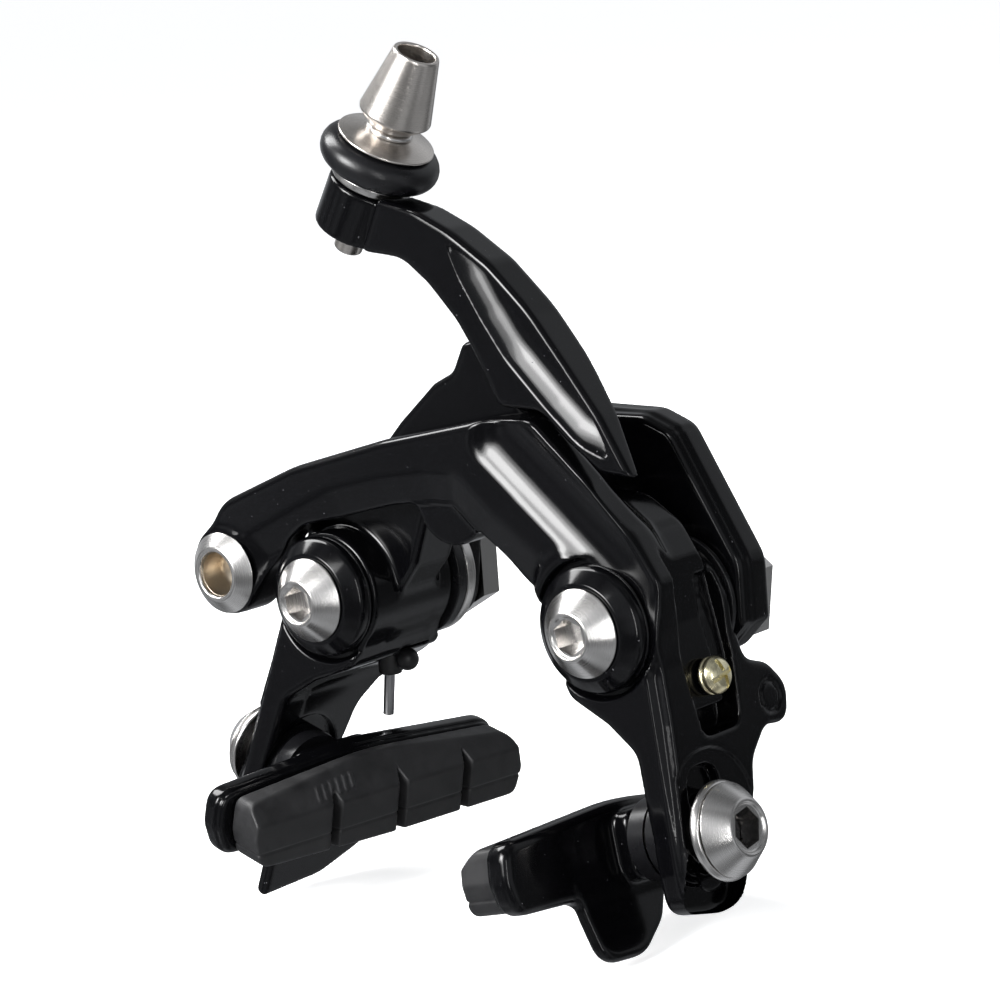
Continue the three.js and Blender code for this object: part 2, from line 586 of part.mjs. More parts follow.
/** The cartridge holder: a curved tray, a boss for the bolt and a guide fin below. */
function padHolder(offset) {
  const half = PAD_LENGTH / 2;
  const tray = [
    [-half - 0.4, -0.4, 5], [-half + 0.5, 5.2, 4.5], [0, PAD_HEIGHT / 2 + 0.7, 60], [half - 0.5, 4.4, 5],
    [half + 0.5, -1, 5], [half - 1, -6.6, 4], [0, -PAD_HEIGHT / 2 - 0.2, 60], [-half + 1, -5.8, 4.5],
  ];
  const fin = [[-14, 0, 0], [-14.8, -6, 6], [-14, -12.4, 4], [-4, -12.6, 8], [4, -8.6, 8], [10, 0, 0]];
  const finSheet = panel(fin, -1.2, 1.2);
  finSheet.rotateY(THREE.MathUtils.degToRad(-14));
  finSheet.translate(HOLDER_BACK - 2, offset - 1.2, -4);
  const trayBody = panel(tray, PAD_JOIN + 0.2, HOLDER_BACK, 0.8).translate(0, offset, 0);
  const boss = [[-5.5, 5.4, 3], [10, 5.4, 3], [10, -5.6, 3], [-5.5, -5.6, 3]];
  return shaped(
    [
      solid(trayBody),
      solid(panel(boss, HOLDER_BACK - 2, HOLDER_BOSS, 0.8)),
      solid(finSheet),
    ],
    [
      solid(rod(4.5, -9, 0, [0, 0, 0], [1, 0, 0], 20)),
      solid(rod(1.5, -9.5, 0, [0, INSERT_SCREW_Y, -0.5], [1, 0, 0], 12)),
    ],
  );
}

/** The rubber insert: sloping top, and grooves across its braking face. */
function padInsert(offset) {
  const half = PAD_LENGTH / 2;
  const block = [
    [-half + 2.2, -0.6, 2], [-half + 3, 4.4, 2], [0, PAD_HEIGHT / 2, 60], [half - 1, 4, 3],
    [half, -2, 3], [half - 1.5, -6.4, 2], [0, -PAD_HEIGHT / 2 + 0.1, 60], [-half + 3, -5.5, 2.5],
  ];
  const bevel = slab([[-18.4, 1.2, 0], [-18.4, 12, 0], [-9, 12, 0], [-9, 9.4, 0]], -40, 40);
  const grooves = [-10, 3.2, 16.4].map((y) => {
    const cut = new THREE.CylinderGeometry(1.9, 1.9, 30, 4);
    cut.rotateX(Math.PI / 2);
    cut.rotateZ(Math.PI / 2);
    cut.translate(PAD_FACE - 0.2, y + offset, 0);
    return solid(cut);
  });
  const blank = panel(block, PAD_FACE, PAD_JOIN - 0.1).translate(0, offset, 0);
  return shaped([solid(blank)], [solid(bevel), ...grooves]);
}

for (const side of SIDES) {
  const { name } = side;
  const onLeg = legMatrix(side).multiply(new THREE.Matrix4().makeTranslation(0, PAD_BOLT_Y, -PAD_DROP));
  const onBolt = padMatrix(side, 0.5);
  const onPad = padMatrix(side, 1);
  const origin = [0, 0, 0];
  const out = [1, 0, 0];
  const piece = (label, geometry, matrix, material) =>
    add(`${name}_${label}`, geometryOf(solid(carried(geometry, matrix))), material);
  const shank = turned(
    [[0, -5.5], [2.9, -5.5], [2.9, 12.3], [7.2, 12.3], [4.3, 16], [0, 16]], origin, out,
  );
  const bolt = solid(shank).subtract(solid(hexagon(5, 12, 17, origin, out)));
  piece("pad_bolt", geometryOf(bolt), onBolt, STEEL);
  piece("outer_washer", turned(
    [[3.2, 10.7], [7.6, 10.7], [7.6, 11.4], [7.2, 12.1], [3.2, 12.1], [3.2, 10.7]], origin, out,
  ), onBolt, STEEL);
  piece("ball_washer", turned(
    [
      [4.2, LEG_SEAT - GAP], [4.2, ballAt(4.2, BALL_R)], [5.4, ballAt(5.4, BALL_R)],
      [6.8, ballAt(6.8, BALL_R)], [6.8, LEG_SEAT - GAP], [4.2, LEG_SEAT - GAP],
    ],
    origin, out, 24,
  ), onLeg, SATIN_BLACK);
  const cup = BALL_R + 0.3;
  piece("cup_washer", turned(
    [
      [4.5, HOLDER_BOSS + 0.3], [6.5, HOLDER_BOSS + 0.3], [6.5, ballAt(6.5, cup)],
      [5.4, ballAt(5.4, cup)], [4.5, ballAt(4.5, cup)], [4.5, HOLDER_BOSS + 0.3],
    ],
    origin, out, 24,
  ), onPad, SATIN_BLACK);
  piece("pad_holder", geometryOf(padHolder(PAD_OFFSET[name])), onPad, BLACK);
  piece("pad_insert", geometryOf(padInsert(PAD_OFFSET[name])), onPad, PAD_RUBBER);
  piece("insert_screw", rod(1.3, -9.2, -5.8, [0, INSERT_SCREW_Y, -0.5], out, 12), onPad, STEEL);
}

export default new THREE.Group().add(caliper);
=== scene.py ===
"""Looks of the direct-mount rim brake caliper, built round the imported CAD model.

Shapes are worked out in millimetres in the CAD's working frame, whose Y starts at the pivot bolts' head
seats, 36 mm in front of the frame's face. row() takes them to the row frame, in metres. Castings and
mouldings are distance fields turned into meshes, and turned parts are lathe meshes.
"""

import json
import math

import bpy
import numpy as np
from mathutils import Matrix, Vector


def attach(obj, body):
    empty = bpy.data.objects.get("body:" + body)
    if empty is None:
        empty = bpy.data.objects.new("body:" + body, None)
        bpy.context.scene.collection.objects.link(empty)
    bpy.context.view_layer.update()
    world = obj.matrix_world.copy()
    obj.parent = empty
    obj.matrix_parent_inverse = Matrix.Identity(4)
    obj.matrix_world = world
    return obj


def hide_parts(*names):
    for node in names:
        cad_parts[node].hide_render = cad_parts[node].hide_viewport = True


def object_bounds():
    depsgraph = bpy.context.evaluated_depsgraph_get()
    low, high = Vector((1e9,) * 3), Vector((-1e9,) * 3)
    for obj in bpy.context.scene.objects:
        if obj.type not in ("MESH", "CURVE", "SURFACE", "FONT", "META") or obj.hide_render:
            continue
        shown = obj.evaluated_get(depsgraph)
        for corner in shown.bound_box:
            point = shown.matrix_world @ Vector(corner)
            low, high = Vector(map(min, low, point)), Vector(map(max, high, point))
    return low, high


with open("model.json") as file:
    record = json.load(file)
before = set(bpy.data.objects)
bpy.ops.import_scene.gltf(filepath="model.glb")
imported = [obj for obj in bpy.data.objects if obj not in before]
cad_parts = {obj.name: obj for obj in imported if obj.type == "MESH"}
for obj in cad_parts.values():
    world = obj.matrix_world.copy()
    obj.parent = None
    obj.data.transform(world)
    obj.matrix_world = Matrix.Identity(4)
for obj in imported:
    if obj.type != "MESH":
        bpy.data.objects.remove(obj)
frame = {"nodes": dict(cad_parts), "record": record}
cad_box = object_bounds()

SEAT_TO_FRAME = 36.0
PIVOT_X = 28.0
HUB_FRONT, HUB_REAR, HUB_R = 4.6, 23.6, 10.2
POCKET_FRONT, POCKET_R = 15.2, 7.6
BUSH_R = 6.2
ARM_FRONT, ARM_REAR = 3.4, 9.7
ANCHOR = (-50.3, 2.1)
ANCHOR_R = 7.0
LINK = (-1.0, 17.0)
ROLLER_R = 4.4
LIMB_FRONT, LIMB_REAR = 5.8, 12.8
BODY_FRONT, BODY_REAR = 10.2, 19.5
BARREL_FOOT = (-23.8, 11.0, 55.2)
BARREL_LEAN = math.radians(30.5)
BARREL_AXIS = (math.sin(BARREL_LEAN), 0.0, math.cos(BARREL_LEAN))
BARREL_LENGTH = 35.3
LEG_OUTER, LEG_INNER, LEG_WEB, LEG_SEAT = 9.6, 3.6, 3.2, 5.0
PAD_DROP, PAD_BOLT_Y = 33.4, 8.0
PAD_LENGTH, PAD_HEIGHT = 56.0, 13.0
SCREW_Y, SCREW_Z, INSERT_SCREW_Y = 15.6, -11.3, 21.0
PAD_FACE, PAD_JOIN, HOLDER_BACK = -17.7, -10.6, -5.7
BALL_CENTRE, BALL_R = 7.3, 9.0
LEFT_PAD_YAW, LEFT_PAD_ROLL = math.radians(11), math.radians(8.3)
FIN_TILT = math.radians(-14)
AXLE_R = 5.1
SPRING_R, SPRING_TURNS, SPRING_STEPS = 6.4, 2.25, 120
SPRING_REAR, SPRING_DEPTH = 22.3, 3.9
WIRE_R, WIRE_Y = 0.9, 18.4
SIDES = {
    "left": {
        "sign": -1.0, "tilt": math.radians(17.7), "pitch": math.radians(5), "offset": 3.4,
        "slot_top": -27.5, "recess_top": [(7.5, -17, 2.5), (40, -20.5, 0)],
        "fin_edge": [(-14, 0, 0), (-14.8, -6, 6), (-15.4, -13.8, 0.8), (-10, -13.2, 6), (-4, -12.6, 8)],
        "spring_foot": (-29.9, 18.4, -23.3), "body": "barrel_arm",
    },
    "right": {
        "sign": 1.0, "tilt": math.radians(13.6), "pitch": math.radians(-4.5), "offset": -1.8,
        "slot_top": -23.2, "recess_top": [(10, -16, 3), (17, -14.8, 0), (25, -11, 0), (40, -11, 0)],
        "fin_edge": [(-12.2, 0, 0), (-12.2, -5.2, 3), (-11.6, -12.5, 5), (-2.4, -12.8, 7)],
        "spring_foot": (29.6, 18.4, -15.4), "body": "anchor_arm",
    },
}
ALONG_Y = (0, 1, 0)
STEP = 0.42  # spacing of the distance fields' grids, in millimetres
SEGMENTS = 96
SHARP = math.radians(38)
FLOOR_REACH, FLOOR_DROP = 14.0, 0.0006  # metres


def row(points):
    """Working-frame millimetres to row-frame metres."""
    p = np.asarray(points, float).copy()
    p[..., 1] -= SEAT_TO_FRAME
    return p / 1000


# ---------------------------------------------------------------- materials


def node_tree(name):
    mat = bpy.data.materials.new(name)
    mat.use_nodes = True
    tree = mat.node_tree
    return mat, tree, tree.nodes["Principled BSDF"]


def noise(tree, scale, detail=4.0, rough=0.55, vector=None, distortion=0.0):
    node = tree.nodes.new("ShaderNodeTexNoise")
    node.inputs["Scale"].default_value = scale
    node.inputs["Detail"].default_value = detail
    node.inputs["Roughness"].default_value = rough
    node.inputs["Distortion"].default_value = distortion
    if vector is not None:
        tree.links.new(vector, node.inputs["Vector"])
    return node.outputs["Fac"]


def ramp(tree, value, low, high, to_low, to_high):
    node = tree.nodes.new("ShaderNodeMapRange")
    node.inputs["From Min"].default_value = low
    node.inputs["From Max"].default_value = high
    node.inputs["To Min"].default_value = to_low
    node.inputs["To Max"].default_value = to_high
    tree.links.new(value, node.inputs["Value"])
    return node.outputs["Result"]


def mix_color(tree, fac, a, b):
    node = tree.nodes.new("ShaderNodeMix")
    node.data_type = "RGBA"
    node.inputs["A"].default_value = (*a, 1)
    node.inputs["B"].default_value = (*b, 1)
    tree.links.new(fac, node.inputs["Factor"])
    return node.outputs["Result"]


def math_node(tree, operation, a, b):
    node = tree.nodes.new("ShaderNodeMath")
    node.operation = operation
    for i, value in enumerate((a, b)):
        if isinstance(value, (int, float)):
            node.inputs[i].default_value = value
        else:
            tree.links.new(value, node.inputs[i])
    return node.outputs["Value"]


def bump(tree, bsdf, height, strength, distance):
    node = tree.nodes.new("ShaderNodeBump")
    node.inputs["Strength"].default_value = strength
    node.inputs["Distance"].default_value = distance
    tree.links.new(height, node.inputs["Height"])
    tree.links.new(node.outputs["Normal"], bsdf.inputs["Normal"])


def object_coords(tree):
    return tree.nodes.new("ShaderNodeTexCoord").outputs["Object"]


def gloss_black():
    """Black-coated forging: near mirror, a little orange peel, light specks of dust."""
    mat, tree, bsdf = node_tree("gloss_black")
    at = object_coords(tree)
    bsdf.inputs["IOR"].default_value = 1.32
    specks = ramp(tree, noise(tree, 1700, 1.0, 0.5, at), 0.79, 0.82, 0, 1)
    cloud = noise(tree, 60, 5, 0.6, at)
    speckled = mix_color(tree, specks, (0.0011, 0.0011, 0.0014), (0.05, 0.05, 0.055))
    tree.links.new(speckled, bsdf.inputs["Base Color"])
    dusty = math_node(tree, "MULTIPLY", specks, 0.3)
    rough = math_node(tree, "ADD", ramp(tree, cloud, 0.35, 0.75, 0.1, 0.17), dusty)
    tree.links.new(rough, bsdf.inputs["Roughness"])
    peel = math_node(tree, "ADD", noise(tree, 420, 2, 0.4, at), math_node(tree, "MULTIPLY", specks, 0.8))
    bump(tree, bsdf, peel, 0.012, 0.0004)
    return mat


def satin_black(name, color, roughness, scale, strength):
    """Black plastic, paint or rubber with a fine moulded grain."""
    mat, tree, bsdf = node_tree(name)
    at = object_coords(tree)
    bsdf.inputs["IOR"].default_value = 1.4
    cloud = noise(tree, 90, 5, 0.6, at)
    lighter = tuple(c * 1.9 for c in color)
    shade = mix_color(tree, ramp(tree, cloud, 0.3, 0.75, 0, 1), color, lighter)
    tree.links.new(shade, bsdf.inputs["Base Color"])
    rough = ramp(tree, cloud, 0.3, 0.75, roughness - 0.07, roughness + 0.08)
    tree.links.new(rough, bsdf.inputs["Roughness"])
    bump(tree, bsdf, noise(tree, scale, 6, 0.65, at), strength, 0.0002)
    return mat


def turned_metal(name, color, rough_low, rough_high, lines, strength, tint=None):
    """Metal with fine tool marks round the axis, from the lathe meshes' own attribute, and faint stains."""
    mat, tree, bsdf = node_tree(name)
    bsdf.inputs["Metallic"].default_value = 1.0
    marks_at = tree.nodes.new("ShaderNodeAttribute")
    marks_at.attribute_name = "tool_path"
    marks = tree.nodes.new("ShaderNodeTexNoise")
    marks.noise_dimensions = "1D"
    marks.inputs["Scale"].default_value = lines
    marks.inputs["Detail"].default_value = 3
    tree.links.new(marks_at.outputs["Fac"], marks.inputs["W"])
    stain = noise(tree, 160, 5, 0.6, object_coords(tree))
    dark = tint or tuple(c * 0.86 for c in color)
    shade = mix_color(tree, ramp(tree, stain, 0.4, 0.75, 0, 1), color, dark)
    tree.links.new(shade, bsdf.inputs["Base Color"])
    lined = math_node(tree, "MULTIPLY", marks.outputs["Fac"], 0.6)
    both = math_node(tree, "ADD", lined, math_node(tree, "MULTIPLY", stain, 0.4))
    tree.links.new(ramp(tree, both, 0.3, 0.7, rough_low, rough_high), bsdf.inputs["Roughness"])
    bump(tree, bsdf, marks.outputs["Fac"], strength, 0.00006)
    return mat


def pad_compound():
    """Brake compound: matt moulded rubber, slightly dusty, with a fine pebbled skin."""
    mat, tree, bsdf = node_tree("pad_rubber")
    at = object_coords(tree)
    bsdf.inputs["IOR"].default_value = 1.5
    bsdf.inputs["Specular IOR Level"].default_value = 0.34
    dust = noise(tree, 220, 8, 0.7, at, 0.4)
    grain = noise(tree, 2600, 3, 0.6, at)
    dusted = ramp(tree, dust, 0.35, 0.72, 0, 1)
    shade = mix_color(tree, dusted, (0.0055, 0.0055, 0.006), (0.012, 0.012, 0.013))
    tree.links.new(shade, bsdf.inputs["Base Color"])
    tree.links.new(ramp(tree, dust, 0.3, 0.7, 0.4, 0.58), bsdf.inputs["Roughness"])
    height = math_node(tree, "ADD", math_node(tree, "MULTIPLY", grain, 0.5), dust)
    bump(tree, bsdf, height, 0.16, 0.0002)
    return mat


MATERIALS = {
    "gloss_black": gloss_black(),
    "satin_black": satin_black("satin_black", (0.003, 0.003, 0.0035), 0.28, 900, 0.1),
    "polished_steel": turned_metal("polished_steel", (0.62, 0.605, 0.59), 0.2, 0.32, 30, 0.05),
    "nickel": turned_metal("nickel", (0.6, 0.565, 0.53), 0.22, 0.34, 36, 0.08),
    "spring_wire": turned_metal("spring_wire", (0.5, 0.5, 0.51), 0.28, 0.42, 5, 0.1),
    "rubber": satin_black("rubber", (0.0025, 0.0025, 0.003), 0.3, 1400, 0.1),
    "pad_rubber": pad_compound(),
    "guide_plastic": satin_black("guide_plastic", (0.004, 0.004, 0.0045), 0.4, 1100, 0.15),
    "yellow_zinc": turned_metal("yellow_zinc", (0.86, 0.8, 0.55), 0.2, 0.36, 8, 0.14, (0.8, 0.68, 0.42)),
    "bronze": turned_metal("bronze", (0.47, 0.41, 0.33), 0.3, 0.5, 14, 0.1),
}


# ---------------------------------------------------------------- outlines and distance fields


def rounded(corners, pieces=8):
    """Points of a closed outline through corners (a, b, radius), each rounded as the CAD rounds it."""
    points = []
    count = len(corners)
    for i, (a, b, radius) in enumerate(corners):
        here = np.array((a, b), float)
        back = np.array(corners[i - 1][:2], float) - here
        ahead = np.array(corners[(i + 1) % count][:2], float) - here
        lengths = np.linalg.norm(back), np.linalg.norm(ahead)
        turn = math.acos(np.clip(back @ ahead / lengths[0] / lengths[1], -1, 1))
        wanted = radius / math.tan(turn / 2)
        reach = min(wanted, 0.49 * lengths[0], 0.49 * lengths[1])
        start = here + back / lengths[0] * reach
        end = here + ahead / lengths[1] * reach
        if reach < 0.01:
            points.append(here)
            continue
        for k in range(pieces + 1):
            t = k / pieces
            points.append((1 - t) ** 2 * start + 2 * t * (1 - t) * here + t * t * end)
    return np.array(points)


def outline_distance(points, a, b):
    """Signed distance from a closed outline at the points (a, b), negative inside."""
    shape = np.broadcast(a, b).shape
    best = np.full(shape, 1e9, np.float32)
    inside = np.zeros(shape, bool)
    for (pa, pb), (qa, qb) in zip(np.roll(points, 1, axis=0), points):
        ea, eb = qa - pa, qb - pb
        square = ea * ea + eb * eb
        if square < 1e-12:
            continue
        wa, wb = a - pa, b - pb
        t = np.clip((wa * ea + wb * eb) / square, 0, 1)
        best = np.minimum(best, (wa - t * ea) ** 2 + (wb - t * eb) ** 2)
        if pb != qb:
            inside ^= ((pb > b) != (qb > b)) & (a < ea * (b - pb) / eb + pa)
    return (np.where(inside, -1, 1) * np.sqrt(best)).astype(np.float32)


def join(a, b, radius=1.0):
    """The union of two shapes, with a fillet between them."""
    h = np.maximum(radius - np.abs(a - b), 0) / radius
    return np.minimum(a, b) - h * h * radius / 4


def common(a, b, radius=1.0):
    """What two shapes share, with the edge between them rounded."""
    return -join(-a, -b, radius)


def cut(a, b, radius=0.8):
    """A shape with another taken away."""
    return common(a, -b, radius)


class Space:
    """A grid of points in the working frame, in millimetres, on which shapes are distance fields."""

    def __init__(self, low, high, step=STEP):
        self.low = np.array(low, float)
        self.step = step
        counts = np.ceil((np.array(high) - self.low) / step).astype(int) + 1
        axes = [(self.low[i] + step * np.arange(counts[i])).astype(np.float32) for i in range(3)]
        self.x, self.y, self.z = np.meshgrid(*axes, indexing="ij", sparse=True)

    def slab(self, corners, front, rear, edge=1.0):
        """An XZ outline between two planes of Y."""
        flat = outline_distance(rounded(corners), self.x, self.z)
        middle, half = (front + rear) / 2, (rear - front) / 2
        return common(flat, np.abs(self.y - middle) - half, edge)

    def path_distance(self, corners):
        """Distance from an open path in XZ."""
        best = np.full((self.x.size, 1, self.z.size), 1e9, np.float32)
        for (pa, pb), (qa, qb) in zip(corners, corners[1:]):
            ea, eb = qa - pa, qb - pb
            wa, wb = self.x - pa, self.z - pb
            t = np.clip((wa * ea + wb * eb) / (ea * ea + eb * eb), 0, 1)
            best = np.minimum(best, (wa - t * ea) ** 2 + (wb - t * eb) ** 2)
        return np.sqrt(best)

    def rod(self, at, along, radius, low=-1e3, high=1e3, edge=0.6):
        """A round rod between two stations along a direction."""
        d = np.array(along, float) / np.linalg.norm(along)
        dx, dy, dz = self.x - at[0], self.y - at[1], self.z - at[2]
        station = dx * d[0] + dy * d[1] + dz * d[2]
        square = dx * dx + dy * dy + dz * dz - station * station
        around = np.sqrt(np.maximum(square, 0)) - radius
        if low < -999 and high > 999:
            return around
        return common(around, np.maximum(low - station, station - high), edge)

    def leg_frame(self, side):
        """Outward and upward coordinates of a leg's own upright frame."""
        dx = side["sign"] * self.x - PIVOT_X
        c, s = math.cos(side["tilt"]), math.sin(side["tilt"])
        return dx * c + self.z * s, -dx * s + self.z * c

    def side_view(self, corners, up):
        """Distance from an outline drawn in Y and a leg's upward coordinate, which has no Y in it."""
        low, step = -62.0, 0.25
        table_up = np.arange(low, 45, step)
        table = outline_distance(rounded(corners), self.y.ravel()[:, None], table_up[None, :])
        place = np.clip((up[:, 0, :] - low) / step, 0, len(table_up) - 2)
        index = np.floor(place).astype(int)
        share = (place - index).astype(np.float32)
        found = table[:, index] * (1 - share) + table[:, index + 1] * share
        return np.moveaxis(found, 0, 1)


def sampled(field, space, points):
    """Trilinear values of a field at points in millimetres."""
    p = (points - space.low) / space.step
    top = np.array(field.shape) - 1.001
    p = np.clip(p, 0, top)
    i = np.floor(p).astype(int)
    f = p - i
    total = 0
    for corner in range(8):
        o = [(corner >> k) & 1 for k in range(3)]
        weight = np.prod([f[:, k] if o[k] else 1 - f[:, k] for k in range(3)], axis=0)
        total = total + weight * field[i[:, 0] + o[0], i[:, 1] + o[1], i[:, 2] + o[2]]
    return total


def gradient(field, space, points, reach):
    slopes = []
    for axis in range(3):
        shift = np.zeros(3)
        shift[axis] = reach
        slopes.append(sampled(field, space, points + shift) - sampled(field, space, points - shift))
    g = np.stack(slopes, axis=1)
    return g / np.maximum(np.linalg.norm(g, axis=1, keepdims=True), 1e-9)


def skin(field, space):
    """Vertices, quads and normals of a field's zero surface: one vertex in each grid cell that it crosses."""
    solid = field < 0
    n = np.array(field.shape) - 1
    corners = [((k >> 2) & 1, (k >> 1) & 1, k & 1) for k in range(8)]
    filled = np.zeros(n, np.uint8)
    for a, b, c in corners:
        filled += solid[a : a + n[0], b : b + n[1], c : c + n[2]]
    active = (filled > 0) & (filled < 8)
    cells = np.argwhere(active)
    number = np.full(n, -1, np.int64)
    number[active] = np.arange(len(cells))
    total = np.zeros((len(cells), 3))
    crossings = np.zeros(len(cells))
    for a in corners:
        for axis in range(3):
            if a[axis]:
                continue
            b = list(a)
            b[axis] = 1
            fa = field[tuple((cells + a).T)]
            fb = field[tuple((cells + b).T)]
            hit = (fa < 0) != (fb < 0)
            t = fa[hit] / (fa[hit] - fb[hit])
            point = cells[hit] + np.array(a, float)
            point[:, axis] += t
            total[hit] += point
            crossings[hit] += 1
    points = space.low + space.step * total / crossings[:, None]
    quads = []
    for axis in range(3):
        u, v = (axis + 1) % 3, (axis + 2) % 3
        low = [slice(None)] * 3
        high = [slice(None)] * 3
        low[axis], high[axis] = slice(0, -1), slice(1, None)
        change = solid[tuple(low)] != solid[tuple(high)]
        edges = np.argwhere(change)
        edges = edges[(edges[:, u] > 0) & (edges[:, v] > 0)]
        edges = edges[(edges[:, u] < n[u]) & (edges[:, v] < n[v])]
        ring = []
        for du, dv in ((-1, -1), (0, -1), (0, 0), (-1, 0)):
            cell = edges.copy()
            cell[:, u] += du
            cell[:, v] += dv
            ring.append(number[tuple(cell.T)])
        faces = np.stack(ring, axis=1)
        outward = solid[tuple(edges.T)]
        faces[~outward] = faces[~outward][:, ::-1]
        quads.append(faces)
    for _ in range(3):
        slope = gradient(field, space, points, 0.5 * space.step)
        move = sampled(field, space, points)[:, None] * slope
        points = points - np.clip(move, -0.5 * space.step, 0.5 * space.step)
    return points, np.concatenate(quads), gradient(field, space, points, 0.6 * space.step)


def mesh_object(name, points, faces, normals=None):
    """A smooth object from row-frame points."""
    mesh = bpy.data.meshes.new(name)
    points = np.asarray(points, np.float32)
    if isinstance(faces, np.ndarray):
        size = faces.shape[1]
        mesh.vertices.add(len(points))
        mesh.vertices.foreach_set("co", points.ravel())
        mesh.loops.add(faces.size)
        mesh.loops.foreach_set("vertex_index", faces.ravel().astype(np.int32))
        mesh.polygons.add(len(faces))
        mesh.polygons.foreach_set("loop_start", np.arange(0, faces.size, size, dtype=np.int32))
        mesh.update(calc_edges=True)
    else:
        mesh.from_pydata([tuple(p) for p in points.tolist()], [], faces)
    mesh.validate()
    mesh.shade_smooth()
    if normals is not None and len(mesh.vertices) == len(normals):
        mesh.normals_split_custom_set_from_vertices(np.asarray(normals, np.float32).tolist())
    obj = bpy.data.objects.new(name, mesh)
    bpy.context.scene.collection.objects.link(obj)
    return obj


def finished(obj, body, slot, *nodes):
    """Gives a piece its material, the body it rides on and the CAD nodes it stands for."""
    obj.data.materials.clear()
    obj.data.materials.append(MATERIALS[slot])
    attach(obj, body)
    if nodes:
        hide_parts(*nodes)
    return obj


def cast(name, field, space, matrix=None):
    """An object from a distance field, moved from its own frame by a 4x4 matrix if one is given."""
    points, quads, normals = skin(field, space)
    if matrix is not None:
        points = points @ matrix[:3, :3].T + matrix[:3, 3]
        normals = normals @ matrix[:3, :3].T
        if np.linalg.det(matrix[:3, :3]) < 0:
            quads = quads[:, ::-1]
    return mesh_object(name, row(points), quads, normals)


# ---------------------------------------------------------------- matrices of legs and pads


def turn_matrix(axis, angle):
    return np.array(Matrix.Rotation(angle, 4, axis))


def move_matrix(x, y, z):
    return np.array(Matrix.Translation((x, y, z)))


def leg_matrix(side):
    mirror = np.diag((side["sign"], 1, 1, 1))
    return move_matrix(side["sign"] * PIVOT_X, 0, 0) @ mirror @ turn_matrix("Y", -side["tilt"])


def pad_matrix(side, lean):
    askew = lean if side["sign"] < 0 else 0
    at = leg_matrix(side) @ move_matrix(BALL_CENTRE, PAD_BOLT_Y, -PAD_DROP)
    turned_by = turn_matrix("Z", askew * LEFT_PAD_YAW) @ turn_matrix("Y", askew * LEFT_PAD_ROLL)
    return at @ turned_by @ turn_matrix("X", lean * side["pitch"]) @ move_matrix(-BALL_CENTRE, 0, 0)


def axis_matrix(at, along):
    """From a frame whose X runs along a direction, to the working frame."""
    quaternion = Vector((1, 0, 0)).rotation_difference(Vector(along))
    return move_matrix(*at) @ np.array(quaternion.to_matrix().to_4x4())


# ---------------------------------------------------------------- castings


def leg_field(space, side):
    out, up = space.leg_frame(side)
    outline = [
        (HUB_FRONT, 6, 0), (HUB_FRONT, 1.6, 8), (-0.9, -37.4, 20), (-1.4, -43.4, 4.5), (8.5, -45.8, 12),
        (13.4, -45, 5), (19.4, -30.4, 8), (21, -25.5, 6), (26, -21.3, 4), (31.5, -22.2, 4),
        (33.5, -16.5, 4.2), (30, -12.3, 4.2), (24.8, -10.5, 3), (24.4, -3, 5), (20, 3, 3), (20, 6, 0),
    ]
    wall = [
        (-6, 6, 0), (LEG_OUTER, 6, 0), (LEG_OUTER, -47, 0), (LEG_INNER + 0.6, -47, 0),
        (LEG_INNER, -30, 12), (3.2, -19.5, 4), (-1.5, -14.5, 6), (-9, -9, 4),
    ]
    shape = common(space.side_view(outline, up), outline_distance(rounded(wall), out, up), 1.1)
    recess = [*side["recess_top"], (40, -50, 0), (4.5, -50, 0), (5.6, -34, 0)]
    shape = cut(shape, common(space.side_view(recess, up), out - LEG_WEB, 0.4), 0.4)
    across = np.sqrt((space.y - PAD_BOLT_Y - 0.6) ** 2 + (up + PAD_DROP - 0.5) ** 2)
    shape = cut(shape, common(across - 8.2, out - LEG_SEAT, 0.4), 0.4)
    edge = [(-12, 8, 0), (7.2, 8, 0), (4.2, -16, 0), (0.2, -38, 0), (-2, -48, 0), (-12, -48, 0)]
    slope = LEG_OUTER - 1.7 - out
    shape = cut(shape, common(space.side_view(edge, up) + 0.3, slope, 1.6), 0.7)
    top = side["slot_top"]
    slot = [(5, top, 4), (12.6, top, 4), (10.4, -42, 4), (2.8, -42, 4)]
    shape = cut(shape, common(space.side_view(slot, up), LEG_OUTER - 2.2 - out, 0.3), 0.45)
    through = [(5, -27.6, 3.6), (12, -27.6, 3.6), (10.8, -39.2, 3.6), (3.8, -39.2, 3.6)]
    shape = cut(shape, space.side_view(through, up), 0.4)
    face = np.sqrt((space.y - PAD_BOLT_Y - 1.4) ** 2 + (up + PAD_DROP - 3) ** 2) - 9.4
    return cut(shape, common(face, LEG_OUTER - 0.5 - out, 0.3), 0.25)


def hub_cut(shape, space, side):
    x = side["sign"] * PIVOT_X
    shape = cut(shape, space.rod((x, 0, 0), ALONG_Y, HUB_R + 0.6, -9, HUB_FRONT), 0.4)
    shape = cut(shape, space.rod((x, 0, 0), ALONG_Y, 11.4, HUB_REAR, 45), 0.4)
    shape = cut(shape, space.rod((x, 0, 0), ALONG_Y, BUSH_R + 0.1, -5, POCKET_FRONT + 1), 0.3)
    shape = cut(shape, space.rod((x, 0, 0), ALONG_Y, POCKET_R, POCKET_FRONT, 40), 0.5)
    centre = x - side["sign"] * 0.6
    way_out = np.maximum(np.abs(space.x - centre) - 4.4, np.abs(space.y - 18.4) - 3)
    return cut(shape, common(way_out, np.abs(space.z + 15.5) - 10, 0.5), 0.7)


